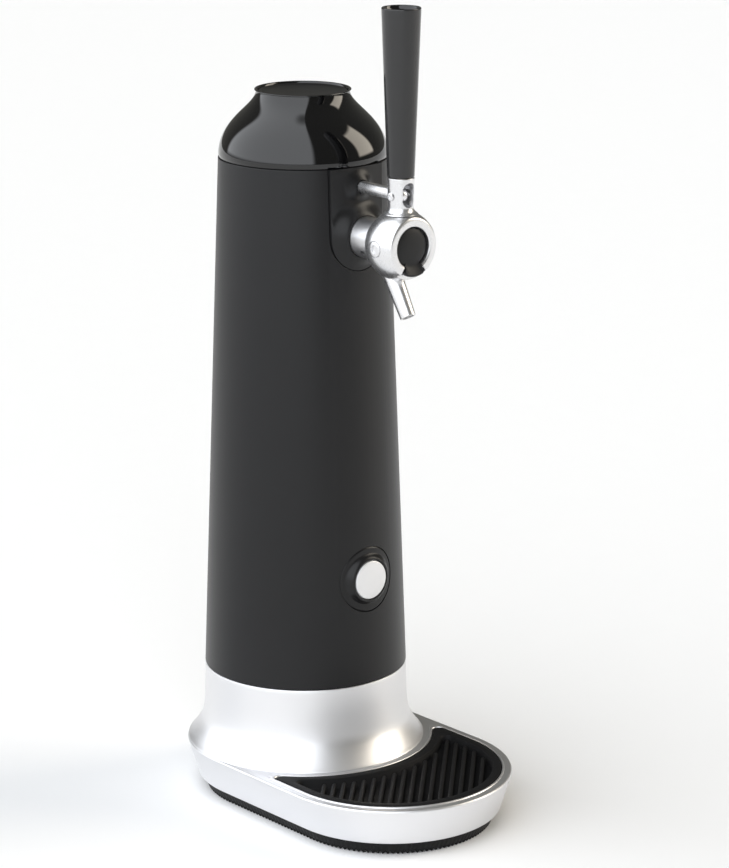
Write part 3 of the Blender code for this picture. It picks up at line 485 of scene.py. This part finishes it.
def make_drip_tray():
    """Rubber tray with a soft rim and round-topped bars across it at 45 degrees."""
    top, pocket = DECK_Z + 0.6, 21.4
    profile = [(0.35, TRAY_FLOOR_Z + GAP), (0.35, top - 0.5), (0.5, top - 0.15), (0.9, top),
               (4.2, top), (4.6, top - 0.15), (4.8, top - 0.5), (5.0, pocket + 0.5), (5.5, pocket)]
    bm = bmesh.new()
    loft_into(bm, [crescent(inset, z) for inset, z in profile])
    for index in range(RIBS):
        rib = rib_rings(FIRST_RIB + index * RIB_PITCH, pocket - 0.3, pocket + 3.4)
        if rib:
            loft_into(bm, rib)
    stands_for(piece("drip_tray_fine", bm, crease=50), "drip_tray", "drip_tray")


def rib_rings(across, low, crown, half=1.1, shortest=1.8):
    """Cross-sections of one bar: straight to the front rim, with a rounded free end near the tower."""
    along, side = Vector((0.5**0.5, 0.5**0.5)), Vector((0.5**0.5, -(0.5**0.5)))
    base = side * across
    middle = Vector((0, -BASE_LENGTH)).dot(along)
    offset = Vector((0, -BASE_LENGTH)).dot(side) - across
    front_r, hollow_r = TRAY_SIDE_R - 4.6, TRAY_HOLLOW_R + 7.0
    if abs(offset) > front_r - 1:
        return None
    front = middle - math.sqrt(front_r**2 - offset**2)
    back = middle + math.sqrt((front_r - 2) ** 2 - offset**2) if abs(offset) < front_r - 2 else middle
    if across < hollow_r:
        back = min(back, -math.sqrt(hollow_r**2 - across**2))
    if back - front < shortest:
        return None
    profile = [(-half, low), (-half, crown - 0.8), (-half * 0.75, crown - 0.25), (-half * 0.3, crown),
               (half * 0.3, crown), (half * 0.75, crown - 0.25), (half, crown - 0.8), (half, low)]
    stations = [(front, 1), (back - half, 1)]
    for angle in (25, 50, 72, 86):
        reach = math.radians(angle)
        stations.append((back - half + half * math.sin(reach), math.cos(reach)))
    rings = []
    for place, share in stations:
        point = base + along * place
        drop = (1 - share) * 0.8
        rings.append([(point.x + side.x * a * share, point.y + side.y * a * share,
                       z if z == low else z - drop) for a, z in profile])
    return rings


# Tower --------------------------------------------------------------------------------

def housing_radius(height):
    share = (height - HOUSING_LOW.z) / (HOUSING_HIGH.z - HOUSING_LOW.z)
    return HOUSING_HIGH.x + share * (HOUSING_TOP_R - HOUSING_HIGH.x)


def panel_outline(half):
    top = HOUSING_HIGH.z + 12
    return arc((0, PANEL_ROUND_Z), half, 180, 360, 64) + [(half, top), (-half, top)]


def make_housing():
    low, high = HOUSING_LOW.z, HOUSING_HIGH.z
    rib_low, rib_high, rib_r = 266.9, 269.4, 37.6
    shell = lathe("housing_fine", [
        (housing_radius(low), low, 0.4), (housing_radius(high), high, 0.5),
        (housing_radius(high) - WALL, high, 0.3), (housing_radius(rib_high) - WALL, rib_high),
        (rib_r, rib_high), (rib_r, rib_low), (housing_radius(rib_low) - WALL, rib_low),
        (housing_radius(low) - WALL, low, 0.3),
    ], sides=192)
    cut(shell, prism("panel_opening", panel_outline(PANEL_HALF), "Y", -60, -30),
        hole(BEZEL_R, -60, -35, "Y", (0, 0, BUTTON.z), 96))
    stands_for(shell, "housing_shell", "tower")
    roof, under_roof = CHAMBER_ROOF_Z, CHAMBER_ROOF_Z - 2.5
    chamber = lathe("pressure_chamber_fine", [
        (39.5, 37, 0.5), (39.5, roof, 0.5), (0, roof), (0, under_roof), (37.5, under_roof, 3),
        (37.5, 37, 0.5),
    ])
    bores = ((0, -8, 4.5), (-20, -20, 3.2), (25, -8, 3.2))
    cut(chamber, *[hole(radius, 255, 268, at=(x, y, 0)) for x, y, radius in bores])
    stands_for(chamber, "pressure_chamber", "tower")


def make_tap_panel():
    """Faceplate that follows the taper, with a soft rise round the shank and one round the rod."""
    low, high, back = 268.8, HOUSING_HIGH.z, -36.5
    columns, rows = 76, 116
    behind_face, shank_rise, rod_rise = -38.2, 7.6, 5.0
    rod_z = PIVOT.z + ROD_RISE

    def front(x, z):
        taper = -math.sqrt(housing_radius(z) ** 2 - x * x)
        shank_r = math.hypot(x, z - PIVOT.z)
        rod_r = math.hypot(x, z - rod_z)
        y = smooth_min(taper, behind_face - shank_rise * ramp(shank_r, 19.0, 9.6), 4.5)
        y = smooth_min(y, behind_face - rod_rise * ramp(rod_r, 10.5, 3.0), 3.0)
        edge_r = math.hypot(x, min(z - PANEL_ROUND_Z, 0))
        return y + 0.35 * ramp(edge_r, PANEL_HALF - 1.0, PANEL_HALF)

    bm = bmesh.new()
    grid = []
    for row in range(rows + 1):
        z = low + (high - low) * row / rows
        xs = [(2 * column / columns - 1) * (PANEL_HALF + 0.3) for column in range(columns + 1)]
        grid.append([bm.verts.new((x, front(x, z), z)) for x in xs])
    for one, two in zip(grid, grid[1:]):
        for index in range(columns):
            bm.faces.new((one[index], one[index + 1], two[index + 1], two[index]))
    rim = grid[0] + [line[-1] for line in grid[1:]] + grid[-1][-2::-1]
    rim += [line[0] for line in grid[-2:0:-1]]
    behind = [bm.verts.new((vert.co.x, back, vert.co.z)) for vert in rim]
    for index, vert in enumerate(rim):
        after = (index + 1) % len(rim)
        bm.faces.new((vert, rim[after], behind[after], behind[index]))
    bm.faces.new(behind)
    panel = piece("tap_panel_fine", bm)
    boolean(panel, "INTERSECT", prism("slab", panel_outline(PANEL_HALF - GAP), "Y", -60, -30))
    shank_hole = hole(SHANK_R + GAP, -60, -30, "Y", (0, 0, PIVOT.z), 96)
    rod_hole = hole(ROD_R + 0.45, -60, -30, "Y", (0, 0, rod_z))
    cap_seat = hole(38.7, 316.6, 330, sides=SIDES)
    plate_seat = hole(40.3, 260, PLATE_TOP_Z, sides=SIDES)
    cut(panel, shank_hole, rod_hole, cap_seat, plate_seat)
    stands_for(panel, "tap_panel", "tower", "panel_black")


def make_bezel():
    """Round insert whose soft rise ends in a narrow rim about the button."""
    def front(radius, angle):
        x, z = radius * math.cos(angle), BUTTON.z + radius * math.sin(angle)
        taper = -math.sqrt(housing_radius(z) ** 2 - x * x)
        y = smooth_min(taper, -44.5 - 5.2 * ramp(radius, 15.4, 10.5), 1.0)
        return y + 0.3 * ramp(radius, BEZEL_R - 0.9, BEZEL_R - GAP)

    def ring(radius, level=None):
        made = []
        for side in range(SIDES):
            angle = 2 * math.pi * side / SIDES
            y = front(radius, angle) if level is None else level
            made.append((radius * math.cos(angle), y, BUTTON.z + radius * math.sin(angle)))
        return made

    inner, steps = 10.2, 24
    radii = [inner + (BEZEL_R - GAP - inner) * step / steps for step in range(steps + 1)]
    rings = [ring(11.2, -44), ring(11.2, -47.9), ring(9.8, -47.9), ring(9.8, -49.3), ring(9.95, -49.6)]
    rings += [ring(radius) for radius in radii] + [ring(BEZEL_R - GAP, -44)]
    stands_for(loft("button_bezel_fine", rings, closed=True, crease=40), "button_bezel", "tower",
               "panel_black")
    button = lathe("power_button_fine", [
        (0, -50.5), (4, -50.45), (7.5, -50.25), (9.5, -49.9, 0.45), (9.5, -47.5), (10.8, -47.5),
        (10.8, -46.5), (0, -46.5),
    ], "Y", (0, 0, BUTTON.z), crease=40)
    stands_for(button, "power_button", "button")


def make_cap():
    """Domed gloss cap with a concave neck and a dished disc in its top."""
    top, neck = 351.6, 22.5

    def shoulder(inset):
        ends = [(40.85 - inset, 319.5), (40.6 - inset, 337.5 - inset), (neck + 0.8 - inset, 342.5 - inset),
                (neck - inset, 350.8 - inset)]
        curve = interpolate_bezier(*[Vector((r, z, 0)) for r, z in ends], 40)
        return [(point.x, point.y) for point in curve]

    inner = [point for point in shoulder(2) if point[1] > 324]
    outline = [(38.3, 319.5), (40.5, 319.5, 0.2), *shoulder(0)[1:], (neck + 0.8, top - 0.45, 0.2),
               (neck + 0.6, top, 0.25), (22.3, top, 0.35), (21.75, top - 0.9), (21.75, 348.3), (0, 348.3),
               (0, 346.3), (20.4, 346.3), *reversed(inner[:-4]), (36.4, 321.5), (36.4, 317.0, 0.4),
               (38.3, 317.0, 0.4)]
    stands_for(lathe("cap_dome_fine", outline, sides=192), "cap_dome", "cap")
    disc = lathe("cap_disc_fine", [
        (0, 348.6), (21.4, 348.6), (21.4, 350.8, 0.5), (20.3, 350.8, 0.5), (18.5, 350.15, 2),
        (10, 349.75, 2), (0, 349.65),
    ], sides=192, crease=60)
    stands_for(disc, "cap_disc", "cap", "panel_black")


# Equipment under the cap --------------------------------------------------------------

def make_pump():
    """Mount, motor and head in one stack, with a ridged nozzle towards the front."""
    mount = lathe("pump_mount_fine", [
        (0, PLATE_TOP_Z), (12.6, PLATE_TOP_Z, 0.4), (12.6, 278.5, 0.9), (10.9, 278.5, 0.4), (10.9, 274.6),
        (0, 274.6),
    ], at=PUMP, sides=96)
    stands_for(mount, "pump_mount", "tower")
    motor = lathe("pump_motor_fine", [
        (0, 275), (9.5, 275, 0.4), (10.5, 276.2, 0.6), (10.5, 282), (10.2, 282.2), (10.2, 283),
        (10.5, 283.2), (10.5, 298), (10.2, 298.2), (10.2, 299), (10.5, 299.2), (10.5, 301, 0.5),
        (9.6, 302, 0.4), (0, 302),
    ], at=PUMP, sides=96)
    stands_for(motor, "pump_motor", "tower")
    head = lathe("pump_head_fine", [
        (0, 302.3), (11.2, 302.3, 0.5), (11.2, 305.4), (10.8, 305.6), (10.8, 306.2), (11.2, 306.4),
        (11.2, 312.8, 0.8), (9.8, 314, 0.5), (7.4, 314, 0.3), (7.0, 313.4, 0.3), (0, 313.4),
    ], at=PUMP, sides=96)
    nozzle = lathe("nozzle", [
        (0, -14.6), (1.3, -14.6), (1.8, -13.6), (1.45, -13.5), (1.45, -13.1), (1.8, -12.1), (1.45, -12),
        (1.45, -9.5), (0, -9.5),
    ], "Y", PUMP + Vector((0, 0, 309)), 48)
    heads = [lathe("screw", [(0, 313), (1.3, 313), (1.3, 313.9, 0.3), (0, 313.9)], sides=32,
                   at=PUMP + Vector((9.0 * math.cos(angle), 9.0 * math.sin(angle), 0)))
             for angle in (0.8, 2.4, 4.0, 5.5)]
    join(head, nozzle, *heads)
    stands_for(head, "pump_head", "tower")


def make_board():
    """Control board with a few parts on both sides, and its two lever switches."""
    back, face = 15, 16.6
    board = block("control_board_fine", (back, -22, PLATE_TOP_Z), (face, 15, 316))
    parts = []
    for y, z, wide, tall, thick in ((-15, 279, 9, 9, 1.2), (-2, 276, 7, 5, 1.0), (8, 279, 5, 8, 2.2),
                                    (-14, 294, 5, 4, 1.0), (-4, 292, 3, 6, 1.6), (6, 294, 8, 4, 1.0)):
        low, high = (face - 0.1, y - wide / 2, z), (face + thick, y + wide / 2, z + tall)
        parts.append(block("chip", low, high, bevel=0.2))
    for y, z in ((-18, 276), (-18, 284), (10, 276), (10, 284), (0, 280)):
        outline = [(0, 11.4), (2.0, 11.4, 0.3), (2.0, 15.1), (0, 15.1)]
        parts.append(lathe("capacitor", outline, "X", (0, y, z), 40))
    join(board, *parts)
    stands_for(board, "control_board", "tower")
    tint(board, "panel_black", lambda middle: middle.x > face + 0.05)
    tint(board, "steel", lambda middle: middle.x < back - 0.05)
    for node, low_y in (("switch_pour", -25.0), ("switch_foam", -1.7)):
        case = block(f"{node}_fine", (6.0, low_y, 304), (14.7, low_y + 7.1, 314), bevel=0.5)
        stands_for(case, node, "tower")


def make_cells():
    """Tray with two round bays, the upright cells in it, and the strip that joins their ends."""
    tray = block("battery_tray_fine", (-17.3, 17.7, PLATE_TOP_Z), (17.3, 33.6, 292), bevel=0.7)
    bays = []
    for index, x in enumerate((-8.6, 8.6)):
        at = (x, 26, 0)
        bays.append(hole(7.5, 274, 300, at=at, sides=96))
        cell = lathe(f"battery_{index + 1}_fine", [
            (0, 276), (6.4, 276), (7.1, 276.7, 0.4), (7.1, 324.7, 0.4), (6.5, 325.4, 0.3), (5.9, 325.1, 0.2),
            (3.4, 325.1, 0.2), (2.7, 325.5, 0.2), (2.7, 326.5, 0.4), (0, 326.5),
        ], at=at, sides=96)
        stands_for(cell, f"battery_{index + 1}", "tower")
        tint(cell, "steel", lambda middle: middle.z > 324.9 and (middle.xy - Vector(at[:2])).length < 6.2)
    cut(tray, *bays)
    stands_for(tray, "battery_tray", "tower")
    strip = block("contact_strip_fine", (-13, 23.5, 326.9), (13, 28.5, 327.7), bevel=0.25)
    stands_for(strip, "contact_strip", "cap")


# Tap ----------------------------------------------------------------------------------

def sphere_point(radius, angle):
    """(distance from the axis, place along it) on a sphere, by the angle from the axis."""
    return radius * math.sin(math.radians(angle)), radius * math.cos(math.radians(angle))


def make_shank():
    """Tube between the tower and the ball, with a drain hole low on its side."""
    shank = lathe("shank_fine", [
        (SHANK_R, -57.4, 0.3), (SHANK_R, -36.4), (8.9, -36.4), (8.9, -21), (7.1, -21), (7.1, -52),
        (8.7, -54), (8.7, -57.4),
    ], "Y", (0, 0, PIVOT.z))
    lean = Matrix.Rotation(math.radians(DRAIN_LEAN), 4, "Y")
    cut(shank, lathe("drain", [(0, -14), (1.3, -14), (1.3, -7), (0, -7)], at=(0, -52.7, PIVOT.z), sides=32,
                     tilt=lean))
    stands_for(shank, "shank", "tower", "turned_silver")


def make_faucet():
    """Hollow ball with a ringed front opening, its lower gap, and the spout."""
    first = 37.5
    last = 180 - math.degrees(math.acos(-RING_Y / BALL_R)) - 2
    outline = [sphere_point(BALL_R, first + (last - first) * step / 40) for step in range(41)]
    outline += [(13.35, RING_Y, 1.0), (OPENING_R + 0.7, RING_Y, 0.35), (OPENING_R - 1, RING_Y + 1.3),
                (0, RING_Y + 1.3), (0, outline[0][1])]
    ball = lathe("faucet_fine", outline, "Y", PIVOT)
    tilt = Matrix.Rotation(-SPOUT_TILT, 4, "X")
    spout = lathe("spout", [(0, 0), (3.75, 0, 0.25), (3.88, 3), (4.6, 20), (4.8, 32), (0, 32)], "Z",
                  SPOUT_TIP, 64, tilt)
    join(ball, spout)

    wall_y = RING_Y + 2.4
    start, end = math.degrees(math.acos(wall_y / CAVITY_R)), 38.5
    cavity = [(OPENING_R, RING_Y - 5), (OPENING_R, wall_y)]
    cavity += [sphere_point(CAVITY_R, start + (end - start) * step / 24) for step in range(25)]
    cavity += [(8.9, 12.6), (SHANK_R + 0.05, 12.6), (SHANK_R + 0.05, 40), (0, 40), (0, RING_Y - 5)]
    bore = lathe("bore", [(0, -2), (2.75, -2), (2.65, 21), (4.0, 29), (4.0, 34), (0, 34)], "Z",
                 SPOUT_TIP, 48, tilt)
    reach, half_angle = 20, math.radians(33)
    wide = reach * math.tan(half_angle)
    gap = prism("gap", [(0, 0), (-wide, -reach), (wide, -reach)], "Y", RING_Y - 3, wall_y + 0.2, PIVOT)
    slot = block("slot", (-2.6, -6.3, 10), (2.6, 5.5, 20), PIVOT)
    seats = []
    for side in (-1, 1):
        seat = [(0, 12), (1.85, 12), (1.85, 15.3), (4.05, 15.3), (4.05, 25), (0, 25)]
        seats.append(lathe("seat", [(r, side * h) for r, h in seat], "X", PIVOT, 48))
        head = [(0, 9.6), (1.5, 9.6), (1.5, 15.6), (3.75, 15.6), (3.75, 16.35, 0.35), (1.9, 16.7, 0.2),
                (1.7, 15.9), (0, 15.9)]
        head = [(r, side * h, *f) for r, h, *f in head]
        name = "left" if side < 0 else "right"
        pin = lathe(f"trunnion_{name}_fine", head, "X", PIVOT, 64)
        stands_for(pin, f"trunnion_{name}", "tower", "cast_silver")
    cut(ball, lathe("cavity", cavity, "Y", PIVOT), bore, gap, slot, *seats)
    stands_for(ball, "faucet_body", "tower", "cast_silver")


def make_plug():
    """Plug in the ball's mouth, with its thumb tab through the ring's gap."""
    plug = lathe("faucet_plug_fine", [
        (0, -8.75), (3, -8.7), (6.5, -8.4), (9.25, -7.6, 0.7), (9.25, -5.0), (6.0, -5.0), (6.0, -2.2),
        (0, -2.2),
    ], "Y", PIVOT, crease=50)
    # The thumb tab leaves the disc's lower edge and leans outwards.
    section = soften([(7.0, -5.2), (7.0, -8.0), (9.6, -8.1), (12.6, -10.6, 0.9), (13.7, -10.2, 0.6),
                      (13.4, -7.4, 0.6)], 5)
    half_width, steps = 28.5, 24
    rings = []
    for step in range(steps + 1):
        edge = abs(2 * step / steps - 1)
        shrink = 1 - 0.06 * max(edge - 0.75, 0) / 0.25
        angle = math.radians(270 - half_width + 2 * half_width * step / steps)
        rings.append([(r * shrink * math.cos(angle), y, r * shrink * math.sin(angle)) for r, y in section])
    join(plug, loft("thumb_tab", rings, place=Matrix.Translation(PIVOT), crease=50))
    smooth(plug, 50)
    stands_for(plug, "faucet_plug", "plug", "plug_black")


def make_lever():
    """Collar that rides on the ball, its bail, the cross pin and the tapered handle."""
    under = BALL_R + GAP
    top = HANDLE_LOW.z - PIVOT.z - GAP
    wall_r, blend, edge = 5.95, 3.4, 0.25
    blend_x = wall_r + blend
    blend_z = math.sqrt((under + edge + blend) ** 2 - blend_x**2)
    outline = [(0, under)] + [sphere_point(under, 29.0 * step / 12) for step in range(1, 13)]
    outline += arc((blend_x, blend_z), blend, 180 + math.degrees(math.atan2(blend_z, blend_x)), 180, 14)
    outline += [(6.4, top - 0.5), (6.4, top, 0.3), (3.1, top), (3.1, top + 14.5), (0, top + 14.5)]
    collar = lathe("lever_collar_fine", outline, "Z", PIVOT, 96)
    bail = arc((0, 0), 13.0, 0, 180, 48) + arc((0, 0), 10.8, 180, 0, 48)
    eyes = []
    for side in (-1, 1):
        ends = sorted((side * 10.2, side * 13.2))
        eyes.append(hole(3.0, *ends, "X", PIVOT, 48))
    join(collar, block("stem", (-2.2, -1.5, 11.6), (2.2, 1.5, 17.6), PIVOT),
         prism("bail", bail, "Y", -2.2, 2.2, PIVOT), *eyes)
    slot_r, slot_low, slot_high = 3.35, 21.65, 26.75
    slot = arc((0, slot_high), slot_r, 0, 180, 32) + arc((0, slot_low), slot_r, 180, 360, 32)
    cut(collar, prism("rod_slot", slot, "Y", -12, 12, PIVOT), hole(1.85, -16, 16, "X", PIVOT),
        hole(1.6, -10, 10, "X", PIVOT + Vector((0, 0, ROD_RISE))))
    stands_for(collar, "lever_collar", "lever", "cast_silver")
    pin = lathe("lever_pin_fine", [
        (0, -6.5), (0.9, -6.5), (1.0, -7.15, 0.1), (1.9, -7.0, 0.35), (2.05, -6.2), (1.25, -6.2),
        (1.25, 6.0, 0.2), (0, 6.0),
    ], "X", PIVOT + Vector((0, 0, ROD_RISE)), 48)
    stands_for(pin, "lever_pin", "lever", "cast_silver")

    low, high = HANDLE_LOW.z, HANDLE_HIGH.z
    low_r, high_r = 6.4, HANDLE_HIGH.x
    handle = lathe("handle_fine", [
        (5.1, low), (low_r, low, 0.7), (high_r, high, 0.7), (8.1, high, 0.5), (7.7, high - 2.0, 0.8),
        (0, high - 2.4), (0, low + 18), (5.1, low + 18),
    ], "Z", (0, PIVOT.y, 0), 160)
    stands_for(handle, "handle", "lever")
    tint(handle, "gloss_black",
         lambda middle: middle.z > high - 3 and math.hypot(middle.x, middle.y - PIVOT.y) < 8.15)


def make_rod():
    """Push rod whose flat end holds the cross pin in an upright slot."""
    rod_z = PIVOT.z + ROD_RISE
    rod = lathe("push_rod_fine", [(0, -66), (ROD_R, -66, 0.4), (ROD_R, -12, 0.5), (0, -12)], "Y",
                (0, 0, rod_z), 64)
    outline = arc((PIVOT.y, 0), 3.3, 90, 270, 24) + [(-66, -3.3), (-66, 3.3)]
    paddle = prism("paddle", outline, "X", -2.0, 2.0, (0, 0, rod_z), bevel=1.1)
    join(rod, paddle)
    eye = arc((PIVOT.y, 0.75), 1.6, 0, 180, 24) + arc((PIVOT.y, -0.75), 1.6, 180, 360, 24)
    cut(rod, prism("eye", eye, "X", -5, 5, (0, 0, rod_z)))
    stands_for(rod, "push_rod", "rod", "cast_silver")


# Studio -------------------------------------------------------------------------------

# The camera's own values are in metres; its lens is in millimetres, as Blender has it.
TARGET = Vector((0.0222, -0.0193, 0.1806))
AZIMUTH, ELEVATION = math.radians(-41.0), math.radians(15.27)
DISTANCE = 1.5603
LENS = 131.8
FLOOR_SIZE = 9000
ROOM = (0.15, 0.148, 0.135)
# Azimuth from the camera's side, to its right; elevation; softness; colour added to the room's.
SOFT_BOXES = (
    ((-120, 12), (4, 78), 7, (1.93, 1.99, 2.08)),
    ((86, 110), (8, 44), 5, (4.6, 4.2, 3.6)),
)


def direction(azimuth, elevation):
    """From the object, towards the camera for 0, 0 and turning to the camera's right."""
    angle = AZIMUTH + azimuth
    return Vector((math.sin(angle) * math.cos(elevation), -math.cos(angle) * math.cos(elevation),
                   math.sin(elevation)))


def make_camera():
    data = bpy.data.cameras.new("camera")
    data.lens = LENS
    camera = bpy.data.objects.new("camera", data)
    bpy.context.scene.collection.objects.link(camera)
    toward = direction(0, ELEVATION)
    camera.location = TARGET + toward * DISTANCE
    camera.rotation_euler = toward.to_track_quat("Z", "Y").to_euler()
    bpy.context.scene.camera = camera


def make_floor():
    bm = bmesh.new()
    bmesh.ops.create_grid(bm, x_segments=1, y_segments=1, size=FLOOR_SIZE)
    floor = piece("floor", bm)
    floor.data.materials.append(finish("floor", ((0.97, 0.97, 0.97), (0.98, 0.98, 0.98)), (0.6, 0.7), 60,
                                       specular=0.2, bump=0.0))


def make_sky():
    """A dim room with soft boxes, each an (azimuth, elevation) window in degrees with a colour."""
    world = bpy.data.worlds.new("studio")
    world.use_nodes = True
    nodes, links = world.node_tree.nodes, world.node_tree.links

    def operation(kind, *inputs):
        node = nodes.new("ShaderNodeMath")
        node.operation = kind
        for socket, value in zip(node.inputs, inputs):
            if isinstance(value, (int, float)):
                socket.default_value = value
            else:
                links.new(value, socket)
        return node.outputs["Value"]

    def window(value, low, high, edge):
        """1 between low and high, falling softly to 0 over the edge's width outside."""
        bounds = ((low - edge, low, 0, 1), (high, high + edge, 1, 0))
        sides = []
        for start, end, before, after in bounds:
            node = nodes.new("ShaderNodeMapRange")
            node.interpolation_type = "SMOOTHSTEP"
            links.new(value, node.inputs["Value"])
            node.inputs["From Min"].default_value = start
            node.inputs["From Max"].default_value = end
            node.inputs["To Min"].default_value = before
            node.inputs["To Max"].default_value = after
            sides.append(node.outputs["Result"])
        return operation("MULTIPLY", *sides)

    turn = nodes.new("ShaderNodeVectorRotate")
    turn.rotation_type = "Z_AXIS"
    turn.inputs["Angle"].default_value = -AZIMUTH
    links.new(nodes.new("ShaderNodeTexCoord").outputs["Generated"], turn.inputs["Vector"])
    split = nodes.new("ShaderNodeSeparateXYZ")
    links.new(turn.outputs["Vector"], split.inputs["Vector"])
    degrees = 180 / math.pi
    back = operation("MULTIPLY", split.outputs["Y"], -1)
    azimuth = operation("MULTIPLY", operation("ARCTAN2", split.outputs["X"], back), degrees)
    elevation = operation("MULTIPLY", operation("ARCSINE", split.outputs["Z"]), degrees)

    light = nodes.new("ShaderNodeRGB").outputs["Color"]
    light.default_value = (*ROOM, 1)
    for box_azimuth, box_elevation, edge, colour in SOFT_BOXES:
        across, upright = window(azimuth, *box_azimuth, edge), window(elevation, *box_elevation, edge)
        add = nodes.new("ShaderNodeMix")
        add.data_type = "RGBA"
        add.blend_type = "ADD"
        add.inputs["B"].default_value = (*colour, 1)
        links.new(operation("MULTIPLY", across, upright), add.inputs["Factor"])
        links.new(light, add.inputs["A"])
        light = add.outputs["Result"]
    background = nodes["Background"]
    links.new(light, background.inputs["Color"])
    seen = nodes.new("ShaderNodeBackground")
    seen.inputs["Color"].default_value = (1, 1, 1, 1)
    path = nodes.new("ShaderNodeLightPath")
    mix = nodes.new("ShaderNodeMixShader")
    links.new(path.outputs["Is Camera Ray"], mix.inputs["Fac"])
    links.new(background.outputs["Background"], mix.inputs[1])
    links.new(seen.outputs["Background"], mix.inputs[2])
    links.new(mix.outputs["Shader"], nodes["World Output"].inputs["Surface"])
    bpy.context.scene.world = world
    bpy.context.scene.view_settings.view_transform = "Standard"


make_camera()
make_floor()
make_sky()
for name, node in frame["nodes"].items():
    wear(node, SLOTS[name])
make_base_shell()
make_foot()
make_pedestal()
make_drip_tray()
make_housing()
make_tap_panel()
make_bezel()
make_cap()
make_pump()
make_board()
make_cells()
make_shank()
make_faucet()
make_plug()
make_lever()
make_rod()
